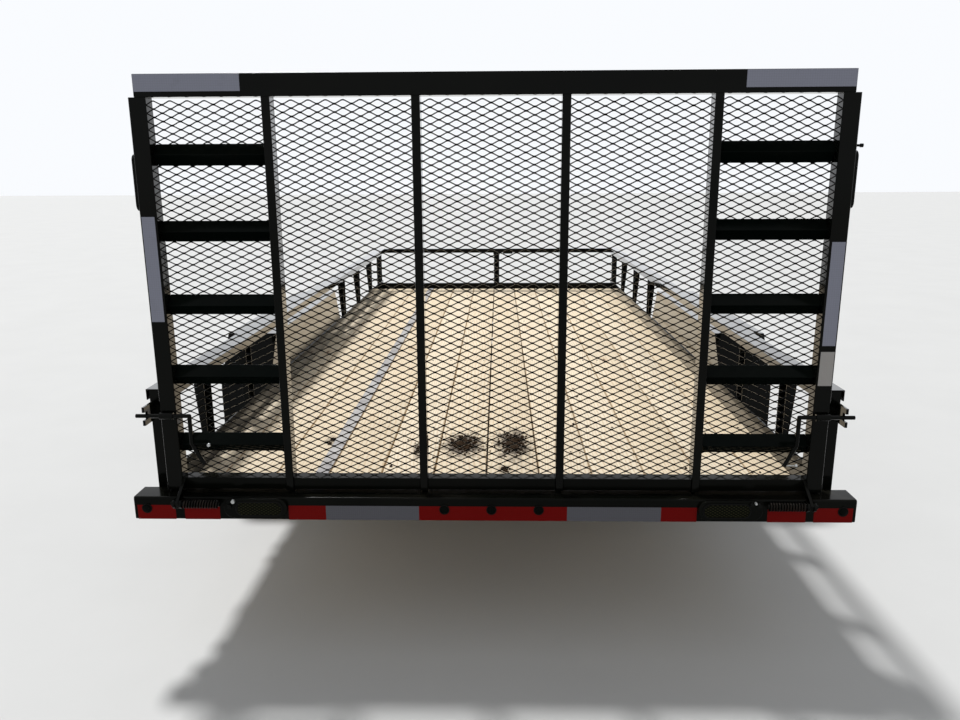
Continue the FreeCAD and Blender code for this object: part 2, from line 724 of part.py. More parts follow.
def arc_strip(y, bottom, half, thickness, sag, leaf_width):
    """A leaf bent upwards to both ends: two concentric arcs, drawn across X."""
    radius = (SPRING_LENGTH * SPRING_LENGTH / 4 + sag * sag) / (2 * sag)

    def height(run, extra):
        r = radius - extra
        return bottom + radius - math.sqrt(r * r - run * run)

    left_low = Vector(0, y - half, height(half, 0))
    left_high = Vector(0, y - half, height(half, thickness))
    right_low = Vector(0, y + half, height(half, 0))
    right_high = Vector(0, y + half, height(half, thickness))
    low = Part.Arc(left_low, Vector(0, y, bottom), right_low).toShape()
    high = Part.Arc(right_high, Vector(0, y, bottom + thickness), left_high).toShape()
    ends = [Part.makeLine(right_low, right_high), Part.makeLine(left_high, left_low)]
    face = Part.Face(Part.Wire([low, ends[0], high, ends[1]]))
    leaf = face.extrude(Vector(leaf_width, 0, 0))
    leaf.translate(Vector(SPRING_X - leaf_width / 2, 0, 0))
    return leaf


def leaf_spring(row):
    """A pack of leaves, longest on top, with a rolled eye at each end."""
    y = AXLE_GROUP_Y + row * AXLE_SPACING / 2
    pieces = []
    for level, share in enumerate(LEAF_SHARES):
        bottom = SEAT_TOP + PACK_HEIGHT - (level + 1) * LEAF_THICKNESS
        half = SPRING_LENGTH / 2 * share
        pieces.append(arc_strip(y, bottom, half, LEAF_THICKNESS, LEAF_SAG, LEAF_WIDTH))
    for end in (-1, 1):
        eye_y = y + end * SPRING_LENGTH / 2
        start = Vector(SPRING_X - LEAF_WIDTH / 2, eye_y, EYE_Z)
        pieces.append(rod(start, start + Vector(LEAF_WIDTH, 0, 0), EYE_RADIUS))
    pack = fuse(pieces)
    for end in (-1, 1):
        eye_y = y + end * SPRING_LENGTH / 2
        start = Vector(SPRING_X - LEAF_WIDTH, eye_y, EYE_Z)
        end_point = start + Vector(2 * LEAF_WIDTH, 0, 0)
        pack = pack.cut(rod(start, end_point, EYE_BOLT_RADIUS + EYE_FIT))
    return pack


def cheeks(y, bottom, inner_gap):
    """Two plates and a top plate under the frame angle, with room between them."""
    half = inner_gap / 2
    outer = half + HANGER_PLATE
    rear = y - HANGER_WIDTH / 2
    front = y + HANGER_WIDTH / 2
    plates = []
    for low, high, floor in (
        (-outer, -half, bottom),
        (half, outer, bottom),
        (-outer, outer, LEG_BOTTOM - HANGER_PLATE),
    ):
        plates.append(box(SPRING_X + low, SPRING_X + high, rear, front, floor, LEG_BOTTOM))
    return plates, outer + 8


def hangers():
    """Rear, middle and front spring hangers on one side, each with its bolt."""
    outer_eye = AXLE_SPACING / 2 + SPRING_LENGTH / 2
    solids = []
    for y, z, gap in (
        (AXLE_GROUP_Y - outer_eye, EYE_Z, LEAF_WIDTH + 2),
        (AXLE_GROUP_Y, EYE_Z + 24, EQUALIZER_THICKNESS + 2),
        (AXLE_GROUP_Y + outer_eye, EYE_Z, LEAF_WIDTH + 2),
    ):
        plates, reach = cheeks(y, z - 22, gap)
        near = Vector(SPRING_X - reach, y, z)
        bolt = rod(near, near + Vector(2 * reach, 0, 0), EYE_BOLT_RADIUS)
        solids.append(fuse(plates + [bolt]))
    return solids


def equalizer():
    """Rocker between the two springs, hung on the middle hanger's bolt."""
    half = EQUALIZER_THICKNESS / 2
    pivot_z = EYE_Z + 24
    arm_z = EYE_Z + 6
    points = [
        (AXLE_GROUP_Y - EQUALIZER_ARM - 14, arm_z - 16),
        (AXLE_GROUP_Y + EQUALIZER_ARM + 14, arm_z - 16),
        (AXLE_GROUP_Y + EQUALIZER_ARM + 14, arm_z + 12),
        (AXLE_GROUP_Y + 22, pivot_z + 18),
        (AXLE_GROUP_Y - 22, pivot_z + 18),
        (AXLE_GROUP_Y - EQUALIZER_ARM - 14, arm_z + 12),
    ]
    body = prism(points, "x", SPRING_X - half, SPRING_X + half)
    for y, z in (
        (AXLE_GROUP_Y, pivot_z),
        (AXLE_GROUP_Y - EQUALIZER_ARM, arm_z),
        (AXLE_GROUP_Y + EQUALIZER_ARM, arm_z),
    ):
        start = Vector(SPRING_X - LEAF_WIDTH, y, z)
        finish = start + Vector(2 * LEAF_WIDTH, 0, 0)
        body = body.cut(rod(start, finish, EYE_BOLT_RADIUS + EYE_FIT))
    return body


def shackle(end):
    """Two links from one spring's inner eye to the rocker's arm, with their two bolts."""
    spring_y = AXLE_GROUP_Y + end * (AXLE_SPACING / 2 - SPRING_LENGTH / 2)
    arm_y = AXLE_GROUP_Y + end * EQUALIZER_ARM
    arm_z = EYE_Z + 6
    low_y = min(spring_y, arm_y) - 13
    high_y = max(spring_y, arm_y) + 13
    pieces = []
    for side in (-1, 1):
        inner = SPRING_X + side * (LEAF_WIDTH / 2 + 1)
        pieces.append(box(inner, inner + side * HANGER_PLATE, low_y, high_y, EYE_Z - 14, arm_z + 14))
    reach = LEAF_WIDTH / 2 + 1 + HANGER_PLATE + 7
    for y, z in ((spring_y, EYE_Z), (arm_y, arm_z)):
        near = Vector(SPRING_X - reach, y, z)
        pieces.append(rod(near, near + Vector(2 * reach, 0, 0), EYE_BOLT_RADIUS))
    return fuse(pieces)


def spring_clamp(row):
    """Tie plate over the leaves and two U-bolts around the axle tube."""
    y = AXLE_GROUP_Y + row * AXLE_SPACING / 2
    ring = AXLE_TUBE_RADIUS + UBOLT_RADIUS + EYE_FIT
    low = SEAT_TOP + PACK_HEIGHT + TIE_PLATE_GAP
    high = low + TIE_PLATE_THICKNESS
    side_x = LEAF_WIDTH / 2 + UBOLT_RADIUS + UBOLT_GAP
    half_x = side_x + UBOLT_RADIUS
    half_y = ring + 2 * UBOLT_RADIUS
    plate = box(SPRING_X - half_x, SPRING_X + half_x, y - half_y, y + half_y, low, high)
    pieces = [plate]
    for side in (-1, 1):
        x = SPRING_X + side * side_x
        rear_foot = Vector(x, y - ring, TUBE_Z)
        front_foot = Vector(x, y + ring, TUBE_Z)
        rise = Vector(0, 0, high + 3 * UBOLT_RADIUS - TUBE_Z)
        bend = Part.Arc(rear_foot, Vector(x, y, TUBE_Z - ring), front_foot).toShape()
        rear_leg = Part.makeLine(rear_foot + rise, rear_foot)
        front_leg = Part.makeLine(front_foot, front_foot + rise)
        path = Part.Wire([rear_leg, bend, front_leg])
        circle = Part.Wire(Part.makeCircle(UBOLT_RADIUS, rear_foot + rise, Vector(0, 0, 1)))
        pieces.append(path.makePipeShell([circle], True, False))
    return pieces[0].multiFuse(pieces[1:])


def spun(points, y):
    """A ring turned about the wheel's axis from (x, radius) corners."""
    corners = [Vector(x, y, WHEEL_Z + r) for x, r in points]
    wire = Part.makePolygon(corners + corners[:1])
    return Part.Face(wire).revolve(Vector(0, y, WHEEL_Z), Vector(1, 0, 0), 360)


def tyre(row):
    """Trailer tyre: round-shouldered section, hollow, seated on the rim's two beads."""
    y = AXLE_GROUP_Y + row * AXLE_SPACING / 2
    half = TYRE_WIDTH / 2
    tread = TREAD_WIDTH / 2
    bead = RIM_WIDTH / 2 - RIM_WALL
    belly = RIM_RADIUS + (TYRE_RADIUS - RIM_RADIUS) * 0.5
    shoulder = TYRE_RADIUS - 14
    outer = [
        (-bead, RIM_RADIUS),
        (-bead, RIM_RADIUS + 12.5),
        (-half + 9, RIM_RADIUS + 30),
        (-half, belly),
        (-half + 6, shoulder - 34),
        (-tread, shoulder),
        (-tread + 16, TYRE_RADIUS - 3),
        (0, TYRE_RADIUS),
        (tread - 16, TYRE_RADIUS - 3),
        (tread, shoulder),
        (half - 6, shoulder - 34),
        (half, belly),
        (half - 9, RIM_RADIUS + 30),
        (bead, RIM_RADIUS + 12.5),
        (bead, RIM_RADIUS),
    ]
    inner = [
        (bead - TYRE_WALL, RIM_RADIUS),
        (half - 9 - TYRE_WALL, RIM_RADIUS + 30),
        (half - TYRE_WALL, belly),
        (tread - TYRE_WALL, shoulder - TYRE_WALL),
        (0, TYRE_RADIUS - TYRE_WALL - 3),
        (-tread + TYRE_WALL, shoulder - TYRE_WALL),
        (-half + TYRE_WALL, belly),
        (-half + 9 + TYRE_WALL, RIM_RADIUS + 30),
        (-bead + TYRE_WALL, RIM_RADIUS),
    ]
    return spun([(TYRE_MIDDLE_X + x, r) for x, r in outer + inner], y)


def wheel(row):
    """Spoked steel rim with its disc, brake drum, hub, cap and nuts, turning on the spindle."""
    y = AXLE_GROUP_Y + row * AXLE_SPACING / 2
    half = RIM_WIDTH / 2
    bead = half - RIM_WALL
    drop = 16.0
    barrel = [
        (-half, RIM_RADIUS + 12),
        (-half + RIM_WALL, RIM_RADIUS + 12),
        (-bead, RIM_RADIUS),
        (-half * 0.5, RIM_RADIUS),
        (-half * 0.35, RIM_RADIUS - drop),
        (half * 0.35, RIM_RADIUS - drop),
        (half * 0.5, RIM_RADIUS),
        (bead, RIM_RADIUS),
        (half - RIM_WALL, RIM_RADIUS + 12),
        (half, RIM_RADIUS + 12),
        (half, RIM_RADIUS - RIM_WALL),
        (half * 0.5 - 2, RIM_RADIUS - RIM_WALL),
        (half * 0.35 - 2, RIM_RADIUS - drop - RIM_WALL),
        (-half * 0.35 + 2, RIM_RADIUS - drop - RIM_WALL),
        (-half * 0.5 + 2, RIM_RADIUS - RIM_WALL),
        (-half, RIM_RADIUS - RIM_WALL),
    ]
    ring = spun([(TYRE_MIDDLE_X + x, r) for x, r in barrel], y)
    lip = RIM_RADIUS - drop - RIM_WALL
    disc = [
        (0, 20),
        (0, 86),
        (22, 104),
        (22, 128),
        (0, lip - 8),
        (-half * 0.3, lip + 1),
        (-half * 0.3 + 8, lip + 1),
        (8, lip - 6),
        (28, 134),
        (28, 102),
        (5, 82),
        (5, 20),
    ]
    face = spun([(TYRE_MIDDLE_X + x, r) for x, r in disc], y)
    drum = spun(
        [
            (TYRE_MIDDLE_X, 20),
            (TYRE_MIDDLE_X, DRUM_RADIUS - 8),
            (TYRE_MIDDLE_X - 8, DRUM_RADIUS),
            (TYRE_MIDDLE_X - DRUM_DEPTH - 16, DRUM_RADIUS),
            (TYRE_MIDDLE_X - DRUM_DEPTH - 16, DRUM_RADIUS - 7),
            (TYRE_MIDDLE_X - 9, DRUM_RADIUS - 9),
            (TYRE_MIDDLE_X - 9, HUB_RADIUS),
            (TYRE_MIDDLE_X - DRUM_DEPTH, HUB_RADIUS),
            (TYRE_MIDDLE_X - DRUM_DEPTH, 20),
        ],
        y,
    )
    hub = rod(
        Vector(TYRE_MIDDLE_X - DRUM_DEPTH, y, WHEEL_Z),
        Vector(TYRE_MIDDLE_X + HUB_CAP_LENGTH, y, WHEEL_Z),
        HUB_RADIUS - 10,
    )
    pieces = [ring, face, drum, hub]
    for index in range(LUG_NUT_COUNT):
        turn = math.radians(90 + index * 360 / LUG_NUT_COUNT)
        centre = Vector(
            TYRE_MIDDLE_X - 4,
            y + LUG_NUT_CIRCLE * math.cos(turn),
            WHEEL_Z + LUG_NUT_CIRCLE * math.sin(turn),
        )
        pieces.append(rod(centre, centre + Vector(26, 0, 0), LUG_NUT_RADIUS))
    body = fuse(pieces)
    bore = rod(
        Vector(TYRE_MIDDLE_X - DRUM_DEPTH - 30, y, WHEEL_Z),
        Vector(TYRE_MIDDLE_X + 32, y, WHEEL_Z),
        SPINDLE_RADIUS + SPINDLE_FIT,
    )
    return body.cut(bore)


def stadium(x, z, length, height, rear, front):
    """Plate with round ends that stands across the Y axis."""
    radius = height / 2
    run = length / 2 - radius
    pieces = [box(x - run, x + run, rear, front, z - radius, z + radius)]
    for end in (-1, 1):
        near = Vector(x + end * run, rear, z)
        pieces.append(rod(near, Vector(x + end * run, front, z), radius))
    return fuse(pieces)


def light_guard(side):
    """Round-ended steel guard on the bumper's rear face, around one oval lamp."""
    x = side * (BUMPER_HALF - GUARD_FROM_END)
    z = BUMPER_TOP - GUARD_HEIGHT / 2
    return stadium(x, z, GUARD_LENGTH, GUARD_HEIGHT, BUMPER_REAR - GUARD_DEPTH, BUMPER_REAR)


def oval_lamp(side):
    """Oval tail lamp standing a little proud of its guard, towards the guard's inner end."""
    x = side * (BUMPER_HALF - OVAL_FROM_END)
    z = BUMPER_TOP - GUARD_HEIGHT / 2
    front = BUMPER_REAR - GUARD_DEPTH
    return stadium(x, z, OVAL_LENGTH, OVAL_HEIGHT, front - OVAL_PROUD, front)


def marker_lamps():
    """Three round lamps in the middle of the bumper and one at each end."""
    z = (BUMPER_TOP + BUMPER_BOTTOM) / 2
    corner = BUMPER_HALF - CORNER_MARKER_INSET
    solids = []
    for x in (-corner, -MARKER_PITCH, 0.0, MARKER_PITCH, corner):
        face = Vector(x, BUMPER_REAR, z)
        solids.append(rod(face - Vector(0, MARKER_PROUD, 0), face, MARKER_RADIUS))
    return solids


def base_lugs(side):
    """Two plates on the bumper that hold one hinge pin, with the pin and its spring's arbor."""
    inner = LUG_X - GATE_LUG_THICKNESS / 2 - LUG_SIDE_GAP
    outer = LUG_X + GATE_LUG_THICKNESS / 2 + LUG_SIDE_GAP
    spring_run = SPRING_COILS * SPRING_COIL_PITCH
    pieces = []
    low = HINGE_Z - HINGE_LUG_RADIUS
    high = HINGE_Z + HINGE_LUG_RADIUS - 4
    for start in (inner - BASE_LUG_THICKNESS, outer):
        end = start + BASE_LUG_THICKNESS
        pieces.append(box(start, end, HINGE_Y, BUMPER_REAR, low, high))
        near = Vector(start, HINGE_Y, HINGE_Z)
        pieces.append(rod(near, Vector(end, HINGE_Y, HINGE_Z), HINGE_LUG_RADIUS - 4))
    tail = Vector(inner - BASE_LUG_THICKNESS - spring_run - 8, HINGE_Y, HINGE_Z)
    tip = Vector(outer + BASE_LUG_THICKNESS + 6, HINGE_Y, HINGE_Z)
    pieces.append(rod(tail, tip, HINGE_PIN_RADIUS))
    solid = fuse(pieces)
    return sided(solid, side)


def hinge_spring(side):
    """Torsion spring around the hinge pin: closed coils drawn as a row of round ridges."""
    start = LUG_X - GATE_LUG_THICKNESS / 2 - LUG_SIDE_GAP - BASE_LUG_THICKNESS - 2
    core = SPRING_RADIUS - SPRING_WIRE / 2
    bore = HINGE_PIN_RADIUS + 0.5
    shapes = []
    for index in range(SPRING_COILS):
        middle = Vector(start - (index + 0.5) * SPRING_COIL_PITCH, HINGE_Y, HINGE_Z)
        shapes.append(Part.makeTorus(core, SPRING_COIL_PITCH / 2, middle, Vector(1, 0, 0)))
    end = start - SPRING_COILS * SPRING_COIL_PITCH
    shapes.append(rod(Vector(end + 4, HINGE_Y, HINGE_Z), Vector(start - 4, HINGE_Y, HINGE_Z), core))
    solid = fuse(shapes)
    hole = rod(Vector(end - 10, HINGE_Y, HINGE_Z), Vector(start + 10, HINGE_Y, HINGE_Z), bore)
    return sided(solid.cut(hole), side)


def gate_lug(side):
    """Arm from the bottom bar, beside the gate post's foot, back to the hinge pin."""
    half = GATE_LUG_THICKNESS / 2
    bar_top = DECK_HEIGHT + BOTTOM_BAR_TOP
    bar_bottom = bar_top - BOTTOM_BAR_HEIGHT
    points = [
        (BOTTOM_BAR_SETBACK, bar_bottom),
        (BOTTOM_BAR_SETBACK, bar_top),
        (HINGE_Y - HINGE_LUG_RADIUS + 5, HINGE_Z + 8),
        (HINGE_Y - 8, HINGE_Z - HINGE_LUG_RADIUS + 6),
        (HINGE_Y + 8, HINGE_Z - HINGE_LUG_RADIUS + 6),
        (BUMPER_REAR - 6, bar_bottom),
    ]
    plate = prism(points, "x", LUG_X - half, LUG_X + half)
    hole = rod(
        Vector(LUG_X - 2 * half, HINGE_Y, HINGE_Z),
        Vector(LUG_X + 2 * half, HINGE_Y, HINGE_Z),
        HINGE_PIN_RADIUS + HINGE_FIT,
    )
    return sided(plate.cut(hole), side)


def gate_post(side):
    """Square tube at one side of the gate."""
    post = tube(
        GATE_HALF - GATE_POST,
        GATE_HALF,
        0,
        GATE_POST,
        GATE_FOOT,
        TOP_BAR_BOTTOM,
        GATE_TUBE_WALL,
        "z",
    )
    return sided(post, side)


def gate_top_bar():
    """Channel across the top, web to the rear, its lower flange on the posts."""
    middle = GATE_TOP - TOP_BAR_HEIGHT / 2
    section = channel_points(TOP_BAR_HEIGHT, GATE_POST, CHANNEL_WALL)
    points = [(v, middle + u) for u, v in section]
    return prism(points, "x", -TOP_BAR_HALF, TOP_BAR_HALF)


def upright_places():
    """Middles of the four slim uprights, evenly pitched about the centre line."""
    return [UPRIGHT_PITCH * (index - 1.5) for index in range(4)]


def gate_uprights():
    """Slim uprights between the foot and the top bar."""
    half = UPRIGHT_FACE / 2
    solids = []
    for x in upright_places():
        bar = tube(
            x - half,
            x + half,
            0,
            GATE_POST,
            GATE_FOOT,
            TOP_BAR_BOTTOM,
            GATE_TUBE_WALL,
            "z",
        )
        solids.append(bar)
    return solids


def gate_bottom_bar():
    """Bottom bar in five lengths, between the posts and the uprights."""
    half = UPRIGHT_FACE / 2
    stops = [-(GATE_HALF - GATE_POST)]
    for x in upright_places():
        stops += [x - half, x + half]
    stops.append(GATE_HALF - GATE_POST)
    top = DECK_HEIGHT + BOTTOM_BAR_TOP
    solids = []
    for start, end in zip(stops[0::2], stops[1::2]):
        solids.append(box(start, end, BOTTOM_BAR_SETBACK, GATE_POST, top - BOTTOM_BAR_HEIGHT, top))
    return solids


def gate_rungs(side):
    """Angle rungs of one side bay, ridge to the rear, tips of both legs against the mesh."""
    reach = RUNG_LEG / math.sqrt(2)
    skin = RUNG_WALL * math.sqrt(2)
    outer_end = GATE_HALF - GATE_POST
    inner_end = max(upright_places()) + UPRIGHT_FACE / 2
    solids = []
    for index in range(RUNG_COUNT):
        z = DECK_HEIGHT + RUNG_FIRST_HEIGHT + index * RUNG_PITCH
        tip = GATE_FRONT
        cut = RUNG_WALL / math.sqrt(2)
        points = [
            (tip - reach, z),
            (tip - cut, z + reach - cut),
            (tip, z + reach - 2 * cut),
            (tip - reach + skin, z),
            (tip, z - reach + 2 * cut),
            (tip - cut, z - reach + cut),
        ]
        solids.append(sided(prism(points, "x", inner_end, outer_end), side))
    return solids


def gate_mesh():
    """Expanded metal over the whole gate: staggered diamonds cut in a sheet, whole edges all round."""
    half = GATE_HALF - MESH_MARGIN
    low = DECK_HEIGHT + BOTTOM_BAR_TOP - BOTTOM_BAR_HEIGHT
    high = TOP_BAR_BOTTOM + CHANNEL_WALL
    slope = math.hypot(MESH_DIAMOND_LONG, MESH_DIAMOND_SHORT)
    run = MESH_DIAMOND_LONG / 2 - MESH_STRAND / 2 * slope / MESH_DIAMOND_SHORT
    rise = MESH_DIAMOND_SHORT / 2 - MESH_STRAND / 2 * slope / MESH_DIAMOND_LONG
    columns = int((half - MESH_STRAND) / (MESH_DIAMOND_LONG / 2))
    rows = int((high - low - 2 * MESH_STRAND) / (MESH_DIAMOND_SHORT / 2)) - 1
    first = (low + high) / 2 - (rows - 1) * MESH_DIAMOND_SHORT / 4

    def loop(points):
        corners = [Vector(x, GATE_FRONT, z) for x, z in points]
        return Part.makePolygon(corners + corners[:1])

    wires = [loop([(-half, low), (half, low), (half, high), (-half, high)])]
    for row in range(rows):
        z = first + row * MESH_DIAMOND_SHORT / 2
        for column in range(1 - columns, columns):
            if (row + column) % 2 == 0:
                x = column * MESH_DIAMOND_LONG / 2
                wires.append(loop([(x, z + rise), (x + run, z), (x, z - rise), (x - run, z)]))
    return Part.Face(wires).extrude(Vector(0, MESH_THICKNESS, 0))


def gate_side_plate(side):
    """Round-ended plate on the outer face of a gate post."""
    radius = GATE_POST / 2 - 6
    high = GATE_TOP - SIDE_PLATE_BELOW_TOP - radius
    low = GATE_TOP - SIDE_PLATE_BELOW_TOP - SIDE_PLATE_HEIGHT + radius
    middle = GATE_POST / 2
    outer = GATE_HALF + SIDE_PLATE_PROUD
    pieces = [box(GATE_HALF, outer, middle - radius, middle + radius, low, high)]
    for z in (low, high):
        pieces.append(rod(Vector(GATE_HALF, middle, z), Vector(outer, middle, z), radius))
    return sided(fuse(pieces), side)


def latch_rod(side):
    """Latch rod across the rear face of a gate post, in a sleeve, bent down to its handle."""
    z = DECK_HEIGHT + ROD_ABOVE_DECK
    y = -ROD_SLEEVE_RADIUS
    bend = Vector(ROD_BEND_X, y, z)
    knee = bend - Vector(0, 0, ROD_DROP_LENGTH)
    hand = knee - Vector(ROD_HANDLE_LENGTH / 2, 0, ROD_HANDLE_LENGTH)
    sleeve = Vector(GATE_HALF - GATE_POST + 4, y, z)
    pieces = [
        rod(bend, Vector(ROD_TIP_X, y, z), ROD_RADIUS),
        rod(bend, knee, ROD_RADIUS),
        rod(knee, hand, ROD_RADIUS),
        Part.makeSphere(ROD_RADIUS, bend),
        Part.makeSphere(ROD_RADIUS, knee),
        rod(sleeve, sleeve + Vector(GATE_POST - 8, 0, 0), ROD_SLEEVE_RADIUS),
    ]
    return sided(fuse(pieces), side)


def build():
    """Every sub-part, under its own name."""
    parts = {}
    for side, name in ((-1, "left"), (1, "right")):
        parts["side_frame_" + name] = [sided(side_frame(), side)]
        parts["top_rail_" + name] = [sided(side_rail(), side)]
        parts["stakes_" + name] = [sided(solid, side) for solid in side_stakes()]
        parts["tongue_" + name] = [sided(tongue_rail(), side)]
        parts["fender_" + name] = [sided(fender(), side)]
        parts["springs_" + name] = [sided(leaf_spring(row), side) for row in (-1, 1)]
        parts["hangers_" + name] = [sided(solid, side) for solid in hangers()]
        parts["gate_post_" + name] = [gate_post(side)]
        parts["gate_rungs_" + name] = gate_rungs(side)
    both = (-1, 1)
    parts["front_sill"] = [front_sill()]
    parts["rear_bumper"] = [rear_bumper()]
    parts["cross_members"] = cross_members()
    parts["deck_boards"] = deck_boards()
    parts["top_rail_front"] = [front_rail()]
    parts["latch_keepers"] = [sided(latch_keeper(), side) for side in both]
    parts["coupler"] = [coupler()]
    parts["coupler_latch"] = [coupler_latch()]
    parts["jack_tube"] = [jack_tube()]
    parts["jack_leg"] = [jack_leg()]
    parts["safety_chains"] = [sided(safety_chain(), side) for side in both]
    parts["axle_rear"] = [axle(-1)]
    parts["axle_front"] = [axle(1)]
    parts["equalizers"] = [sided(equalizer(), side) for side in both]
    parts["shackles"] = [sided(shackle(end), side) for side in both for end in both]
    parts["spring_clamps"] = [sided(spring_clamp(row), side) for side in both for row in both]
    parts["light_boxes"] = [light_guard(side) for side in both]
    parts["tail_lamps"] = [oval_lamp(side) for side in both]
    parts["marker_lamps"] = marker_lamps()
    parts["hinge_lugs"] = [base_lugs(side) for side in both]
    parts["hinge_springs"] = [hinge_spring(side) for side in both]
    parts["gate_top_bar"] = [gate_top_bar()]
    parts["gate_bottom_bar"] = gate_bottom_bar()
    parts["gate_uprights"] = gate_uprights()
    parts["gate_mesh"] = [gate_mesh()]
    parts["gate_hinge_lugs"] = [gate_lug(side) for side in both]
    parts["gate_side_plates"] = [gate_side_plate(side) for side in both]
    parts["latch_rods"] = [latch_rod(side) for side in both]
    for name, side, row in WHEELS:
        parts["tyre_" + name] = [sided(tyre(row), side)]
        parts["wheel_" + name] = [sided(wheel(row), side)]
    return parts


os.makedirs("parts", exist_ok=True)
for node, solids in build().items():
    save(node, solids)
print("origin_y", round(ORIGIN_Y, 3), "hinge", round(HINGE_Y - ORIGIN_Y, 3), HINGE_Z)
print("axles", AXLE_GROUP_Y - ORIGIN_Y, "wheel z", WHEEL_Z, "ball", BALL_Y - ORIGIN_Y)
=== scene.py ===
# %% [markdown]
# # A tandem-axle utility trailer with a mesh ramp gate
# The real trailer is welded from steel angle, channel and square tube, painted gloss black, decked
# with pine planks, and closed at the rear by a hinged gate of expanded metal. The bars already stand
# in place in the CAD frame. This lesson dresses them: edges that catch the light, wood with grain,
# open steel mesh, rubber with tread, lamps, and reflective tape.

# %% Load the frame
import math
import random
import bmesh
import bpy
from mathutils import Matrix, Vector


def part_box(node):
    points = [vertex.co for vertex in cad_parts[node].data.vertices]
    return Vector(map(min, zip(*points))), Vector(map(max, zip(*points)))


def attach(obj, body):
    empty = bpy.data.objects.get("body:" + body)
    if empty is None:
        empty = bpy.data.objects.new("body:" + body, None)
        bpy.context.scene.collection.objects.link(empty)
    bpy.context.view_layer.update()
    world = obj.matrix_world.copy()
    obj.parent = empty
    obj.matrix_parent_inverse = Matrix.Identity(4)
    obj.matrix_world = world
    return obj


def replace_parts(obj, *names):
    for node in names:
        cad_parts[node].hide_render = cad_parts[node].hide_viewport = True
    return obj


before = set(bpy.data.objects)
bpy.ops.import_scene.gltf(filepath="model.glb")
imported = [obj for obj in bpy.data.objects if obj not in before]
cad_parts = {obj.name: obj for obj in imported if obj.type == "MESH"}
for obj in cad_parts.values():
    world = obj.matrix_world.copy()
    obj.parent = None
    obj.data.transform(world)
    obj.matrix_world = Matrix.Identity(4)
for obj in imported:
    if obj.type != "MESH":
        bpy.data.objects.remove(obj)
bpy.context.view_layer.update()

# %% [markdown]
# ## The camera
# The picture was taken by someone standing behind the closed gate, with a moderately wide lens held
# a little above the deck and tipped down. A place, three angles and the lens describe that view. They
# are named values, and the camera's axes are built from them.

# %% Place the camera
CAMERA_PLACE = Vector((0.02245, -5.3746, 1.541))
CAMERA_DOWN = math.radians(13.35)
CAMERA_LEFT = math.radians(1.409)
CAMERA_ROLL = math.radians(-0.2832)
CAMERA_LENS = 29.32


def stand(name, data):
    """A new object in the scene, at the origin."""
    made = bpy.data.objects.new(name, data)
    bpy.context.scene.collection.objects.link(made)
    return made


ahead = Vector((-math.sin(CAMERA_LEFT), math.cos(CAMERA_LEFT), 0.0)) * math.cos(CAMERA_DOWN)
ahead.z = -math.sin(CAMERA_DOWN)
level = Vector((math.cos(CAMERA_LEFT), math.sin(CAMERA_LEFT), 0.0))
right = level * math.cos(CAMERA_ROLL) + level.cross(ahead) * math.sin(CAMERA_ROLL)
up = right.cross(ahead)
camera_data = bpy.data.cameras.new("camera")
camera_data.lens = CAMERA_LENS
camera_data.clip_end = 200.0
camera = stand("camera", camera_data)
turn = Matrix((right, up, -ahead)).transposed().to_4x4()
camera.matrix_world = Matrix.Translation(CAMERA_PLACE) @ turn
bpy.context.scene.camera = camera
bpy.context.scene.view_settings.view_transform = "Standard"
print("camera", [round(value, 3) for value in CAMERA_PLACE], "lens", CAMERA_LENS)

# %% [markdown]
# ## A short way to write nodes
# Materials and Geometry Nodes are both trees. A recipe holds one tree. Its first steps add a node and
# fill its sockets, either with a plain value or with a link from another node, and the others are
# short names for what the finishes need most, so that each tree below reads like a list of steps.

# %% Helpers for node trees
class Recipe:
    """A node tree, the first word of its nodes' names, and the coordinates that its textures use."""

    def __init__(self, tree):
        self.tree = tree
        self.family = tree.bl_idname.replace("Tree", "")
        self.place = None

    def fill(self, node, values):
        """Fills a node's sockets with plain values or with links from other nodes."""
        for key, value in values.items():
            if isinstance(value, bpy.types.NodeSocket):
                self.tree.links.new(value, node.inputs[key])
            else:
                node.inputs[key].default_value = value

    def node(self, kind, values, **settings):
        """Adds a node, sets its properties and fills its sockets. Its kind may leave the first word out."""
        made = self.tree.nodes.new(kind if "Node" in kind else self.family + kind)
        for key, value in settings.items():
            setattr(made, key, value)
        self.fill(made, values)
        return made

    def add(self, kind, values=None, out=0, **settings):
        """Adds a node and gives one of its outputs."""
        return self.node(kind, values or {}, **settings).outputs[out]

    def calc(self, operation, *terms, kind="ShaderNodeMath"):
        """One arithmetic step between sockets or numbers."""
        return self.add(kind, dict(enumerate(terms)), operation=operation)

    def times(self, first, second):
        """A product."""
        return self.calc("MULTIPLY", first, second)

    def split(self, vector):
        """The x, y and z of a vector."""
        return self.node("ShaderNodeSeparateXYZ", {0: vector}).outputs

    def remap(self, value, low, high, new_low=0.0, new_high=1.0):
        """Stretches a range of values, clamped at both ends."""
        return self.add("ShaderNodeMapRange", dict(enumerate((value, low, high, new_low, new_high))))

    def mix(self, share, *colors):
        """Mixes two colours, each a socket or three numbers."""
        first, second = [c if isinstance(c, bpy.types.NodeSocket) else (*c, 1.0) for c in colors]
        return self.add("ShaderNodeMix", {0: share, 6: first, 7: second}, 2, data_type="RGBA")

    def scaled(self, scale):
        """The recipe's coordinates, stretched along each axis."""
        return self.add("ShaderNodeMapping", {0: self.place, 3: scale})

    def noise(self, scale, detail, rough, place=None):
        """Noise at a named number of lumps per metre."""
        place = self.place if place is None else place
        values = {"Vector": place, "Scale": scale, "Detail": detail, "Roughness": rough}
        return self.add("ShaderNodeTexNoise", values)

    def bump(self, height, strength, distance):
        """A bump from a height, with its reach in metres."""
        return self.add("ShaderNodeBump", {"Strength": strength, "Distance": distance, "Height": height})


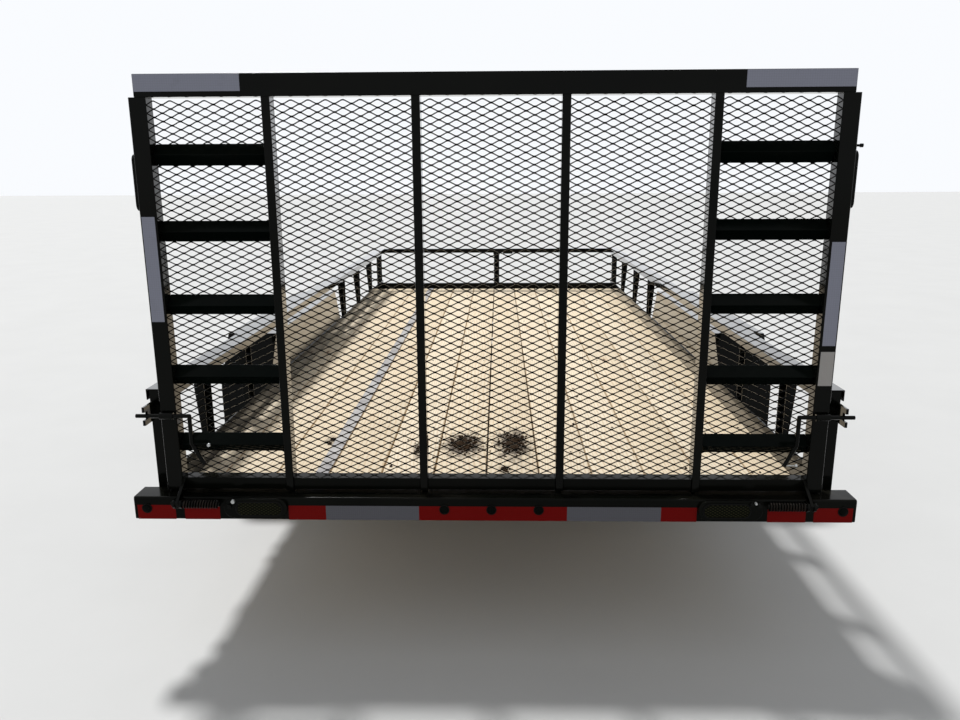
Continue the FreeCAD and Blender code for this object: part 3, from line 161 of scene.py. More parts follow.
def new_group(name, tree_kind, inputs, outputs):
    """A node group with sockets from {label: kind}: its recipe, its inputs and its last node."""
    group = bpy.data.node_groups.new(name, tree_kind)
    for way, sockets in (("INPUT", inputs), ("OUTPUT", outputs)):
        for label, kind in sockets.items():
            group.interface.new_socket(label, in_out=way, socket_type="NodeSocket" + kind)
    given = group.nodes.new("NodeGroupInput").outputs
    return Recipe(group), given, group.nodes.new("NodeGroupOutput")

# %% [markdown]
# ## Road dust
# Nothing that stands in a yard is clean. Dust settles on what faces the sky and dulls the gloss, and
# it gathers in soft patches. Every finish needs the same effect, so it is one node group: it takes a
# finish's colour and roughness and gives them back with dust over them.

# %% The dust group
DUST_COLOR = (0.26, 0.22, 0.17)
MOST_DUST = 0.9

dust, given, end = new_group(
    "road_dust",
    "ShaderNodeTree",
    {"Color": "Color", "Roughness": "Float", "Amount": "Float"},
    {"Color": "Color", "Roughness": "Float"},
)
dust.place = dust.add("TexCoord", out="Object")
patches = dust.remap(dust.noise(2.3, 6.0, 0.6), 0.42, 0.70)
specks = dust.remap(dust.noise(160.0, 3.0, 0.7), 0.60, 0.72)
upward = dust.split(dust.add("NewGeometry", out="Normal"))[2]
lying = dust.remap(upward, 0.1, 0.95, 0.25, 1.0)
film = dust.times(dust.calc("MULTIPLY_ADD", specks, 0.5, patches), lying)
cover = dust.calc("MINIMUM", dust.times(film, given["Amount"]), MOST_DUST)
duller = dust.calc("MULTIPLY_ADD", cover, 0.9, given["Roughness"])
dust.fill(end, {"Color": dust.mix(cover, given["Color"], DUST_COLOR), "Roughness": duller})


class Finish(Recipe):
    """A new material: its shader, its object coordinates, and dust over its colour and roughness."""

    def __init__(self, name):
        self.material = bpy.data.materials.new(name)
        self.material.use_nodes = True
        super().__init__(self.material.node_tree)
        self.shader = self.tree.nodes["Principled BSDF"]
        self.place = self.add("TexCoord", out="Object")

    def dusted(self, color, roughness, amount):
        """Feeds the shader's colour and roughness through the dust group."""
        values = {"Color": color, "Roughness": roughness, "Amount": amount}
        over = self.node("Group", values, node_tree=dust.tree).outputs
        self.fill(self.shader, {"Base Color": over["Color"], "Roughness": over["Roughness"]})

    def done(self, values):
        """Fills the shader's other sockets and gives the material."""
        self.fill(self.shader, values)
        return self.material


print("dust group with", len(dust.tree.nodes), "nodes")

# %% [markdown]
# ## Black enamel
# The steel is sprayed with gloss black. Seen straight on it is nearly as dark as the shade behind it,
# and along a grazing line of sight it turns into a mirror: the rails' tops go white and the frame's
# inner face takes on the colour of the wood. A low index keeps the straight-on look deep, and a very
# fine ripple, the orange peel of sprayed paint, keeps the mirror from being perfect.

# %% Make the enamels
ENAMEL_INDEX = 1.16
ENAMEL_COLOR = (0.0020, 0.0025, 0.0017)
LOWEST_GLOSS_Z = 0.566


def enamel(name, color, low_rough, high_rough, dusty, peel, index=ENAMEL_INDEX, mirror=1.0, dull_above=None):
    """Sprayed paint: an even colour, cloudy gloss, orange peel, dust, and a skin that mirrors aslant."""
    paint = Finish(name)
    cloud = paint.noise(3.1, 5.0, 0.6)
    tone = paint.mix(paint.remap(cloud, 0.4, 0.7, 0.0, 0.35), color, (0.0, 0.0, 0.0))
    paint.dusted(tone, paint.remap(cloud, 0.35, 0.65, low_rough, high_rough), dusty)
    slanted = paint.add("LayerWeight", {"Blend": 0.5}, "Facing")
    skin = paint.remap(slanted, 0.45, 0.72, 0.0, mirror)
    if dull_above is not None:
        rubbed = paint.calc("MULTIPLY_ADD", cloud, 0.012, paint.split(paint.place)[2])
        skin = paint.times(skin, paint.remap(rubbed, dull_above, dull_above + 0.010, 1.0, 0.0))
    peeled = paint.bump(paint.noise(520.0, 2.0, 0.5), peel, 0.0004)
    return paint.done({"Normal": peeled, "IOR": index, "Coat Weight": skin, "Coat Roughness": 0.06})


BLACK = enamel("black_enamel", ENAMEL_COLOR, 0.05, 0.13, 0.020, 0.10)
FRAME_BLACK = enamel("black_enamel_frame", ENAMEL_COLOR, 0.05, 0.13, 0.020, 0.10, dull_above=LOWEST_GLOSS_Z)
RUNG_BLACK = enamel("black_enamel_rungs", (0.0012, 0.0026, 0.0020), 0.06, 0.14, 0.012, 0.10, 1.10, 0.35)
BUMPER_BLACK = enamel("black_enamel_bumper", (0.0022, 0.0028, 0.0018), 0.10, 0.20, 0.030, 0.12, 1.13, 0.15)
BLACK_LOW = enamel("black_enamel_road", (0.0045, 0.0045, 0.0040), 0.14, 0.34, 0.35, 0.15)
MESH_BLACK = enamel("black_enamel_mesh", (0.0016, 0.0019, 0.0014), 0.12, 0.22, 0.01, 0.05)
WHEEL_WHITE = enamel("white_wheel_enamel", (0.74, 0.74, 0.71), 0.14, 0.32, 0.28, 0.12, 1.45)
print("enamels made")

# %% [markdown]
# ## Metals
# Plated steel shows on the coupler, the jack's leg, the chains, nuts and pins: zinc is a pale blotchy
# grey. Spring steel is nearly black, with brown where the scale has let water in, and the strip on
# the deck is worn grey.

# %% Make the metals
def metal(name, color, spots, low_rough, high_rough, dusty, spot_scale=14.0):
    """Plated or bare steel: two tones in blotches, fine scratches, and dust."""
    steel = Finish(name)
    tone = steel.mix(steel.remap(steel.noise(spot_scale, 7.0, 0.65), 0.42, 0.62), color, spots)
    rough = steel.remap(steel.noise(45.0, 5.0, 0.6), 0.3, 0.7, low_rough, high_rough)
    steel.dusted(tone, rough, dusty)
    grain = steel.noise(1.0, 3.0, 0.5, steel.scaled((60.0, 60.0, 900.0)))
    return steel.done({"Metallic": 1.0, "Normal": steel.bump(grain, 0.08, 0.0005)})


ZINC = metal("zinc_plate", (0.52, 0.53, 0.54), (0.37, 0.38, 0.37), 0.34, 0.52, 0.12)
SCALE = metal("spring_steel", (0.0075, 0.0075, 0.0070), (0.016, 0.012, 0.010), 0.26, 0.44, 0.03, 22.0)
STRIP_METAL = metal("deck_strip_steel", (0.34, 0.33, 0.32), (0.25, 0.24, 0.24), 0.60, 0.74, 0.10, 6.0)
print("metals made")

# %% [markdown]
# ## Rubber and lamp plastic
# Tyre rubber is a soft dark grey that never goes fully black, with a fine mould grain and pale dust
# in the tread. The tail lamps are smoked acrylic over a faceted reflector, so they show a small grid
# of lozenges; the round markers are the same plastic, darker, and look nearly black with no lamp lit.

# %% Make rubber, plastics and grip
def rubber(name, color, dusty, index=1.4):
    """Moulded rubber with a fine grain."""
    tread = Finish(name)
    cloud = tread.noise(9.0, 5.0, 0.6)
    paler = (color[0] * 1.7, color[1] * 1.6, color[2] * 1.5)
    tone = tread.mix(tread.remap(cloud, 0.35, 0.7), color, paler)
    tread.dusted(tone, tread.remap(cloud, 0.3, 0.7, 0.58, 0.74), dusty)
    return tread.done({"Normal": tread.bump(tread.noise(900.0, 2.0, 0.5), 0.25, 0.0004), "IOR": index})


def lens(name, dark, light, facet):
    """Moulded lamp plastic: a grid of lozenges under a clear glossy skin."""
    plastic = Finish(name)
    x, _, z = plastic.split(plastic.place)
    across = plastic.times(x, facet)
    rise = plastic.times(z, facet * 1.6)
    first = plastic.calc("PINGPONG", plastic.calc("ADD", across, rise), 0.5)
    second = plastic.calc("PINGPONG", plastic.calc("SUBTRACT", across, rise), 0.5)
    hill = plastic.times(first, second)
    plastic.dusted(plastic.mix(plastic.remap(hill, 0.02, 0.22), dark, light), 0.16, 0.01)
    return plastic.done({"Normal": plastic.bump(hill, 0.5, 0.004), "IOR": 1.10})


RUBBER = rubber("tyre_rubber", (0.016, 0.016, 0.017), 0.55)
GRIP = rubber("grip_rubber", (0.0035, 0.0038, 0.0035), 0.02, 1.15)
OVAL_LENS = lens("smoked_oval_lens", (0.0012, 0.0014, 0.0006), (0.032, 0.033, 0.014), 70.0)
ROUND_LENS = lens("dark_marker_lens", (0.0008, 0.0016, 0.0012), (0.0040, 0.0060, 0.0045), 160.0)
print("rubber and lenses made")

# %% [markdown]
# ## Reflective tape
# The red and white tape holds prisms under a clear film, pressed in small sealed cells. From nearby
# they read as a faint honeycomb. The cells run in real size, so the pattern holds up close, and the
# white reads as a cool grey because the gate's rear face stands in its own shade. The white on the
# bumper is a darker copy of the same tape, with the bumper's deeper shade painted into its colour.

# %% Make the tapes
CELLS_PER_METRE = 150.0


def tape(name, color, seam):
    """Prism tape: a honeycomb of sealed cells under a film."""
    prisms = Finish(name)
    x, _, z = prisms.split(prisms.place)
    flat = prisms.add("CombineXYZ", {0: x, 1: z})
    honeycomb = {"Vector": flat, "Scale": CELLS_PER_METRE, "Randomness": 0.12}
    cells = prisms.add("TexVoronoi", honeycomb, feature="DISTANCE_TO_EDGE")
    wall = prisms.times(prisms.remap(cells, 0.04, 0.10, 1.0, 0.0), 0.45)
    wear = prisms.remap(prisms.noise(24.0, 5.0, 0.65), 0.60, 0.72, 0.0, 0.35)
    prisms.dusted(prisms.mix(wear, prisms.mix(wall, color, seam), seam), 0.34, 0.015)
    return prisms.done({"Normal": prisms.bump(cells, 0.15, 0.001), "IOR": 1.12})


TAPE_WHITE = tape("tape_white", (0.238, 0.246, 0.300), (0.180, 0.186, 0.218))
# The bumper's white: the same tape made darker, painted shade standing in for the deeper shade on the
# bumper's rear face.
TAPE_WHITE_SHADED = tape("tape_white_in_road_film", (0.108, 0.108, 0.122), (0.080, 0.080, 0.090))
TAPE_RED = tape("tape_red", (0.152, 0.0022, 0.0018), (0.112, 0.0018, 0.0015))
LABEL_GREY = tape("blank_label_film", (0.330, 0.315, 0.300), (0.300, 0.287, 0.275))
print("tapes made")

# %% [markdown]
# ## Pine planks
# Each plank is a slice of a log, so its face shows growth rings cut at a slant: long flames down the
# middle and straight lines at the edges, with knots where branches were. The rings are drawn round
# an axis that lies beside each plank, and two stored values per plank, a tone and a shift, make sure
# that no two look alike.

# %% Make the pine
VECTOR = "ShaderNodeVectorMath"
MUD_COLOR = (0.045, 0.028, 0.016)
MUD_SPOTS = (
    # x, y, half width, half length, crumbs
    (-0.118, -2.462, 0.085, 0.150, 230),
    (0.078, -2.448, 0.075, 0.185, 260),
    (-0.284, -2.520, 0.030, 0.100, 26),
    (0.045, -2.733, 0.030, 0.050, 12),
    (-0.640, -2.420, 0.035, 0.060, 10),
)


wood = Finish("pine_plank")
spot = wood.place
tone = wood.add("Attribute", out="Fac", attribute_name="plank_tone")
shift = wood.add("Attribute", out="Vector", attribute_name="plank_shift")
wood.place = wood.calc("ADD", spot, shift, kind=VECTOR)
slow = {"Vector": wood.scaled((2.0, 0.55, 2.0)), "Scale": 1.6}
lean = wood.calc("MULTIPLY", wood.add("TexNoise", slow, 1), (0.16, 0.0, 0.10), kind=VECTOR)
bent = wood.calc("ADD", wood.scaled((1.0, 0.06, 1.0)), lean, kind=VECTOR)
wave = {"Vector": bent, "Scale": 26.0, "Distortion": 1.2, "Detail": 2.0, "Detail Scale": 2.5}
rings = wood.add("TexWave", wave, 1, wave_type="RINGS", rings_direction="Y")
streak = wood.noise(1.0, 4.0, 0.65, wood.scaled((150.0, 3.0, 150.0)))
pores = wood.noise(1.0, 2.0, 0.6, wood.scaled((700.0, 14.0, 700.0)))
branches = {"Vector": wood.scaled((5.2, 1.35, 5.2)), "Scale": 1.0, "Randomness": 1.0}
knots = wood.add("TexVoronoi", branches, "Distance")
near = wood.calc("MULTIPLY_ADD", wood.noise(60.0, 3.0, 0.6), 0.020, knots)
grey = wood.noise(1.5, 5.0, 0.6, wood.scaled((3.0, 0.9, 3.0)))
color = wood.mix(tone, (0.90, 0.79, 0.61), (0.80, 0.67, 0.48))
for share, layer in (
    # late wood, streaks, the rim of a knot, its core, and grey weathering
    (wood.remap(rings, 0.55, 1.0, 0.0, 0.50), (0.62, 0.44, 0.25)),
    (wood.remap(streak, 0.45, 0.75, 0.0, 0.35), (0.60, 0.45, 0.28)),
    (wood.remap(near, 0.05, 0.16, 0.45, 0.0), (0.55, 0.36, 0.19)),
    (wood.remap(near, 0.040, 0.062, 1.0, 0.0), (0.16, 0.085, 0.045)),
    (wood.remap(grey, 0.55, 0.80, 0.0, 0.30), (0.50, 0.46, 0.39)),
):
    color = wood.mix(share, color, layer)

# Each mark of mud is an oval with a ragged edge.
across, along, _ = wood.split(spot)
ragged = wood.noise(34.0, 6.0, 0.75, spot)
for x, y, half_x, half_y, crumbs in MUD_SPOTS:
    wide = wood.times(wood.calc("SUBTRACT", across, x), 1.0 / half_x)
    long = wood.times(wood.calc("SUBTRACT", along, y), 1.0 / half_y)
    squares = wood.calc("ADD", wood.times(wide, wide), wood.times(long, long))
    reach = wood.calc("MULTIPLY_ADD", ragged, 2.6, wood.calc("SQRT", squares))
    mark = wood.remap(reach, 1.85, 2.45, min(0.94, 0.40 + crumbs * 0.01), 0.0)
    color = wood.mix(mark, color, MUD_COLOR)
wood.dusted(color, wood.remap(streak, 0.3, 0.7, 0.55, 0.72), 0.12)
height = wood.calc("MULTIPLY_ADD", pores, 0.5, wood.times(rings, 0.5))
PINE = wood.done({"Normal": wood.bump(height, 0.35, 0.0012), "IOR": 1.35})
MUD = rubber("dry_mud", (0.026, 0.016, 0.009), 0.02, 1.08)
print("materials", len(bpy.data.materials))

# %% [markdown]
# ## Bars with rounded edges
# Rolled and formed steel has no knife edges. A CAD solid has, and without a rounded edge no line of
# light runs along a bar, which is most of what the eye sees on black paint. Each bar's mesh is
# copied, its loose triangles are merged into whole faces, and a Bevel modifier rounds what is sharp.
# Square tube gets a larger radius on its four long corners only, because its open ends stay crisp.

# %% Helpers that round the bars
WELD_DISTANCE = 2e-5
SHARP_ANGLE = 34.0


def mesh_of(work, name):
    """Turns a bmesh into a mesh."""
    mesh = bpy.data.meshes.new(name)
    work.to_mesh(mesh)
    work.free()
    return mesh


def plain_mesh(work, name, smooth=SHARP_ANGLE):
    """Turns a bmesh into a mesh that is smooth but for its sharp edges."""
    mesh = mesh_of(work, name)
    mesh.shade_smooth()
    mesh.set_sharp_from_angle(angle=math.radians(smooth))
    return mesh


def put(mesh, body, material):
    """A finished piece: one object at the origin, named like its mesh, that rides on a body."""
    piece = stand(mesh.name, mesh)
    mesh.materials.clear()
    mesh.materials.append(material)
    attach(piece, body)
    return piece


def baked(helper, name):
    """The mesh that a helper's modifiers make. The helper is taken away."""
    graph = bpy.context.evaluated_depsgraph_get()
    mesh = bpy.data.meshes.new_from_object(helper.evaluated_get(graph))
    mesh.name = name
    bpy.data.objects.remove(helper)
    return mesh


def cad_work(node):
    """A bmesh of a CAD node whose triangles share their corners."""
    work = bmesh.new()
    work.from_mesh(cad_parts[node].data)
    bmesh.ops.remove_doubles(work, verts=work.verts, dist=WELD_DISTANCE)
    return work


def solids(work):
    """The vertices, low corner and high corner of each separate solid, always in the same order."""
    seen = set()
    found = []
    for first in work.verts:
        if first in seen:
            continue
        seen.add(first)
        group = [first]
        for vertex in group:
            for edge in vertex.link_edges:
                other = edge.other_vert(vertex)
                if other not in seen:
                    seen.add(other)
                    group.append(other)
        low = Vector([min(vertex.co[index] for vertex in group) for index in range(3)])
        high = Vector([max(vertex.co[index] for vertex in group) for index in range(3)])
        found.append((group, low, high))
    return found


def solid_boxes(node):
    """Low and high corner of each solid of a CAD node."""
    work = cad_work(node)
    boxes = [found[1:] for found in solids(work)]
    work.free()
    return boxes


def long_corners(work, axis):
    """The edges along one axis at the outer corners of each solid."""
    across = [index for index in range(3) if index != axis]
    chosen = []
    for group, low, high in solids(work):
        for edge in dict.fromkeys(edge for vertex in group for edge in vertex.link_edges):
            point = edge.verts[0].co
            run = edge.verts[1].co - point
            outer = all(min(point[index] - low[index], high[index] - point[index]) < 1e-4 for index in across)
            if outer and abs(run[axis]) >= 0.999 * run.length:
                chosen.append(edge)
    return chosen


def dressed(node, body, material, width, tube):
    """Puts a copy with rounded edges in a CAD node's place."""
    work = cad_work(node)
    bmesh.ops.dissolve_limit(work, angle_limit=math.radians(0.8), verts=work.verts, edges=work.edges)
    if tube:
        axis, radius = tube
        corners = long_corners(work, axis)
        bmesh.ops.bevel(work, geom=corners, offset=radius, segments=4, profile=0.5, affect="EDGES")
    helper = stand(node + "_helper", mesh_of(work, node + "_helper"))
    helper.data.shade_smooth()
    if width > 0.0:
        rounding = helper.modifiers.new("edges", "BEVEL")
        rounding.width = width
        rounding.segments = 2
        rounding.limit_method = "ANGLE"
        rounding.angle_limit = math.radians(SHARP_ANGLE)
        rounding.use_clamp_overlap = False
        rounding.harden_normals = True
        helper.modifiers.new("even_faces", "WEIGHTED_NORMAL").keep_sharp = True
    piece = put(baked(helper, node + "_steel"), body, material)
    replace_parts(piece, node)

# %% [markdown]
# ## Which bar gets which edge
# One table holds every welded or bolted steel node. A row is a finish and an edge radius, for square
# tube also the axis it runs along and its corner radius, and the nodes that share them. A loop then
# dresses them all, and the wheels after them.

# %% Dress the steel
STEEL = (
    # body, material, edge, tube axis and corner radius, nodes
    ("chassis", FRAME_BLACK, 0.0012, None, "side_frame_left side_frame_right"),
    ("chassis", BUMPER_BLACK, 0.0008, (0, 0.0070), "rear_bumper"),
    ("chassis", BUMPER_BLACK, 0.0022, None, "light_boxes"),
    ("chassis", BLACK, 0.0014, None, "top_rail_left top_rail_right top_rail_front"),
    ("chassis", BLACK, 0.0012, None, "stakes_left stakes_right tongue_left tongue_right jack_tube"),
    ("chassis", BLACK, 0.0010, None, "front_sill"),
    ("chassis", BLACK, 0.0008, None, "latch_keepers hinge_lugs fender_left fender_right"),
    ("chassis", BLACK_LOW, 0.0010, None, "axle_rear axle_front"),
    ("chassis", BLACK_LOW, 0.0008, None, "cross_members hangers_left hangers_right"),
    ("chassis", SCALE, 0.0012, None, "equalizers"),
    ("chassis", SCALE, 0.0008, None, "shackles"),
    ("chassis", SCALE, 0.0007, None, "springs_left springs_right"),
    ("chassis", SCALE, 0.0006, None, "spring_clamps"),
    ("chassis", ZINC, 0.0012, None, "coupler jack_leg"),
    ("chassis", ZINC, 0.0010, None, "coupler_latch"),
    ("chassis", ZINC, 0.0, None, "safety_chains"),
    ("gate", BLACK, 0.0016, None, "gate_top_bar"),
    ("gate", BLACK, 0.0014, None, "gate_side_plates"),
    ("gate", BLACK, 0.0010, None, "gate_hinge_lugs"),
    ("gate", BLACK, 0.0006, None, "latch_rods"),
    ("gate", BLACK, 0.0008, (2, 0.0048), "gate_post_left gate_post_right"),
    ("gate", BLACK, 0.0006, (2, 0.0032), "gate_uprights"),
    ("gate", BUMPER_BLACK, 0.0012, None, "gate_bottom_bar"),
    ("gate", RUNG_BLACK, 0.0012, None, "gate_rungs_left gate_rungs_right"),
)
WHEELS = ("front_left", "front_right", "rear_left", "rear_right")
for body, material, width, tube, nodes in STEEL:
    for node in nodes.split():
        dressed(node, body, material, width, tube)
for wheel in WHEELS:
    dressed("wheel_" + wheel, "wheel_" + wheel, WHEEL_WHITE, 0.0008, None)
print("dressed", sum(len(row[-1].split()) for row in STEEL), "steel nodes and", len(WHEELS), "wheels")

# %% [markdown]
# ## The plank deck
# The planks are rebuilt one by one so that each can have eased edges, a slightly different height
# and its own stored tone and shift. Near the front a second row of short planks begins, so every
# plank is cut there with a narrow gap.

# %% Build the planks
DECK_SEAM_Y = 1.454
SEAM_GAP = 0.004
SIDE_GAP = 0.0016
PLANK_EASE = 0.0030
deck_low, deck_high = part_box("deck_boards")
DECK_Z = deck_high.z


def block(work, low, high):
    """Adds a box to a bmesh."""
    for vertex in bmesh.ops.create_cube(work, size=1.0)["verts"]:
        vertex.co = [high[index] if vertex.co[index] > 0 else low[index] for index in range(3)]


chance = random.Random(41)
plank_edges = sorted((low.x, high.x) for low, high in solid_boxes("deck_boards"))
deck = bmesh.new()
tones = []
shifts = []
for left_x, right_x in plank_edges:
    left_x += SIDE_GAP if left_x > deck_low.x + 0.01 else 0.0
    right_x -= SIDE_GAP if right_x < deck_high.x - 0.01 else 0.0
    for rear_y, front_y in ((deck_low.y, DECK_SEAM_Y), (DECK_SEAM_Y + SEAM_GAP, deck_high.y)):
        sink = chance.uniform(0.0, 0.0012)
        plank = bmesh.new()
        block(plank, (left_x, rear_y, deck_low.z), (right_x, front_y, DECK_Z - sink))
        bmesh.ops.bevel(plank, geom=plank.edges, offset=PLANK_EASE, segments=3, profile=0.5, affect="EDGES")
        tones += [chance.uniform(0.0, 1.0)] * len(plank.verts)
        shift = [chance.uniform(-3.0, 3.0), chance.uniform(-9.0, 9.0), chance.uniform(0.04, 0.12)]
        shifts += shift * len(plank.verts)
        deck.from_mesh(mesh_of(plank, "plank"))
deck_mesh = plain_mesh(deck, "deck_planks", 40.0)
deck_mesh.attributes.new("plank_tone", "FLOAT", "POINT").data.foreach_set("value", tones)
deck_mesh.attributes.new("plank_shift", "FLOAT_VECTOR", "POINT").data.foreach_set("vector", shifts)
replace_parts(put(deck_mesh, "chassis", PINE), "deck_boards")
print("deck planks", len(deck_mesh.polygons), "faces")

# %% [markdown]
# ## Geometry Nodes for what repeats
# Mesh diamonds, wound springs and screws repeat. For each, a small tree is built in code, a modifier
# runs it on an empty helper, and the result is frozen into a plain mesh. The tree's sizes are named
# inputs, so the same tree can serve again with other numbers.

# %% Helpers for Geometry Nodes
def geometry_tree(name, values):
    """A new tree with a named input for each value, of the value's kind."""
    named = {int: "Int", float: "Float"}
    kinds = {label: named.get(type(value), "Object") for label, value in values.items()}
    return new_group(name, "GeometryNodeTree", kinds, {"Geometry": "Geometry"})


def finish_tree(recipe, end, geometry, material):
    """Ends a tree: instances made real, and the material set."""
    real = recipe.add("RealizeInstances", {0: geometry})
    painted = recipe.add("SetMaterial", {"Geometry": real, "Material": material})
    recipe.fill(end, {0: painted})


def freeze(recipe, name, values):
    """Runs a tree once on an empty helper and gives the result as a mesh."""
    helper = stand(name + "_helper", bpy.data.meshes.new(name + "_helper"))
    modifier = helper.modifiers.new("grow", "NODES")
    modifier.node_group = recipe.tree
    for socket in recipe.tree.interface.items_tree:
        if socket.in_out == "INPUT":
            modifier[socket.identifier] = values[socket.name]
    return baked(helper, name)


def ring_faces(work, rows, flip=False):
    """Faces between rows of vertices, where each row is a closed ring."""
    count = len(rows[0])
    for before, after in zip(rows[:-1], rows[1:]):
        for index in range(count):
            following = (index + 1) % count
            corners = [before[index], before[following], after[following], after[index]]
            work.faces.new(corners[::-1] if flip else corners)

# %% [markdown]
# ## Expanded metal
# Expanded metal is a sheet slit in rows and pulled open, so its strands are ribbons that stand at a
# slant and meet in short flat bonds. One strand, half a diamond long, is modelled from listed stations. A
# grid of
# points then repeats it: every second point carries its mirror image, which closes the diamonds, and
# every row is one slit. Whatever sticks out past the sheet's edge is trimmed.

# %% Model one strand
DIAMOND_LONG = 0.0508
DIAMOND_SHORT = 0.0234
STRAND_WIDE = 0.0036
STRAND_THICK = 0.0018
BOND_HALF = 0.0034
SHEET_SLANT = 0.0011
STRAND_END = DIAMOND_LONG / 4
STATIONS = (
    # x, share of the rise
    (-STRAND_END, 0.0),
    (-STRAND_END + BOND_HALF, 0.03),
    (-STRAND_END + BOND_HALF * 1.7, 0.14),
    (STRAND_END - BOND_HALF * 1.7, 0.86),
    (STRAND_END - BOND_HALF, 0.97),
    (STRAND_END, 1.0),
)
mesh_low, mesh_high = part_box("gate_mesh")
SHEET_Y = mesh_low.y + 0.0022


def strand(flip):
    """Half a diamond's upper edge: bond, sloping ribbon, bond."""
    rise = DIAMOND_SHORT / 2 - STRAND_WIDE * 0.5
    lean = Vector((0.0, 0.42, 0.91)) * (STRAND_WIDE / 2)
    face = Vector((0.0, 0.91, -0.42)) * (STRAND_THICK / 2)
    work = bmesh.new()
    rows = []
    for x, share in STATIONS:
        middle = Vector((x, SHEET_SLANT * (1 - 2 * share), rise * (share - 0.5)))
        corners = (middle - lean - face, middle + lean - face, middle + lean + face, middle - lean + face)
        rows.append([work.verts.new((-c.x if flip else c.x, c.y, c.z)) for c in corners])
    ring_faces(work, rows, flip)
    return stand("strand_helper", mesh_of(work, "strand"))


print("strand rise", round(DIAMOND_SHORT / 2, 4), "over", round(DIAMOND_LONG / 2, 4), "metres")

# %% [markdown]
# The grid has a point for every strand. Points whose row and column add up to an even number carry
# the rising strand and the others the falling one. Row and column numbers come from each point's
# index, and they decide which of the two models is picked.

# %% Repeat the strand over the gate
SHEET_PARTS = 3
STEP_X = DIAMOND_LONG / 2
STEP_Z = DIAMOND_SHORT / 2
strands = strand(False), strand(True)

all_columns = int(2 * mesh_high.x / STEP_X) + 1
part_columns = math.ceil(all_columns / SHEET_PARTS)
sizes = {
    "First": 0,
    "Columns": part_columns,
    "All Columns": all_columns,
    "Rows": int((mesh_high.z - mesh_low.z) / STEP_Z),
    "Half Width": mesh_high.x - 0.002,
    "Low": mesh_low.z,
    "High": mesh_high.z,
}
grid, given, end = geometry_tree("expanded_metal", sizes)
points = grid.add("Points", {"Count": grid.times(given["Columns"], given["Rows"])})
index = grid.add("InputIndex")
column = grid.calc("ADD", grid.calc("MODULO", index, given["Columns"]), given["First"])
row = grid.calc("FLOOR", grid.calc("DIVIDE", index, given["Columns"]))
middle = grid.times(grid.calc("SUBTRACT", given["All Columns"], 1.0), 0.5)
x = grid.times(grid.calc("SUBTRACT", column, middle), STEP_X)
z = grid.calc("MULTIPLY_ADD", row, STEP_Z, grid.calc("ADD", given["Low"], STEP_Z / 2))
spot = grid.add("ShaderNodeCombineXYZ", {0: x, 1: SHEET_Y, 2: z})
placed = grid.add("SetPosition", {"Geometry": points, "Position": spot})
odd = grid.calc("MODULO", grid.calc("ADD", row, column), 2.0)
both = grid.node("JoinGeometry", {})
for wanted, model in enumerate(strands):
    chosen = grid.calc("COMPARE", odd, float(wanted), 0.5)
    model = grid.add("ObjectInfo", {"Object": model}, "Geometry")
    copies = {"Points": placed, "Selection": chosen, "Instance": model}
    grid.fill(both, {0: grid.add("InstanceOnPoints", copies)})
real = grid.add("RealizeInstances", {0: both.outputs[0]})
whole = grid.add("MergeByDistance", {"Geometry": real, "Distance": 0.00005})
at_x, _, at_z = grid.split(grid.add("InputPosition"))
wide = grid.calc("GREATER_THAN", grid.calc("ABSOLUTE", at_x), given["Half Width"])
out = grid.calc("MAXIMUM", wide, grid.calc("GREATER_THAN", at_z, given["High"]))
trimmed = grid.add("DeleteGeometry", {"Geometry": whole, "Selection": out}, domain="FACE")
finish_tree(grid, end, trimmed, MESH_BLACK)
sheet_pieces = []
for part in range(SHEET_PARTS):
    sizes["First"] = part * part_columns
    sizes["Columns"] = min(part_columns, all_columns - part * part_columns)
    sheet = freeze(grid, "gate_expanded_metal_%d" % part, sizes)
    sheet_pieces.append(put(sheet, "gate", MESH_BLACK))
for helper in strands:
    bpy.data.objects.remove(helper)
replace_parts(sheet_pieces[0], "gate_mesh")
print("expanded metal", [len(piece.data.polygons) for piece in sheet_pieces], "faces")

# %% [markdown]
# ## Balance springs
# A torsion spring on each side takes most of the gate's weight. It is close-wound round wire on the
# hinge pin. Geometry Nodes has a spiral curve, and a round profile swept along it gives the wire.

# %% Wind the springs
SPRING_TURNS = 13.0
SPRING_LENGTH = 0.1105
SPRING_COIL_RADIUS = 0.0116
SPRING_WIRE_RADIUS = 0.0029


def coil_spring(side):
    """One torsion spring, wound along the hinge pin."""
    low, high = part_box("hinge_springs")
    sizes = {"Turns": SPRING_TURNS, "Length": SPRING_LENGTH}
    spring, given, end = geometry_tree("torsion_spring", sizes)
    spiral = {
        "Resolution": 22,
        "Rotations": given["Turns"],
        "Start Radius": SPRING_COIL_RADIUS,
        "End Radius": SPRING_COIL_RADIUS,
        "Height": given["Length"],
    }
    circle = {"Resolution": 10, "Radius": SPRING_WIRE_RADIUS}
    sweep = {
        "Curve": spring.add("CurveSpiral", spiral),
        "Profile Curve": spring.add("CurvePrimitiveCircle", circle),
        "Fill Caps": True,
    }
    moved = {
        "Geometry": spring.add("CurveToMesh", sweep),
        "Translation": (side * (high.x - SPRING_LENGTH), (low.y + high.y) / 2, (low.z + high.z) / 2),
        "Rotation": (0.0, side * math.pi / 2, 0.0),
    }
    turned = spring.add("Transform", moved)
    finish_tree(spring, end, spring.add("SetShadeSmooth", {"Geometry": turned}), SCALE)
    return freeze(spring, "torsion_spring", sizes)


spring_work = bmesh.new()
for side in (-1, 1):
    spring_work.from_mesh(coil_spring(side))
coils = put(plain_mesh(spring_work, "hinge_torsion_springs", 60.0), "chassis", SCALE)
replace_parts(coils, "hinge_springs")
print("springs", len(coils.data.polygons), "faces")

# %% [markdown]
# ## Tyres with tread
# A trailer tyre has straight ribs parted by three or four grooves, and short slots cut into its
# shoulders. The section is turned about the axle in many steps. At every third step the shoulder's
# points are drawn in, which leaves the slots, and the side walls carry two fine moulded rings.

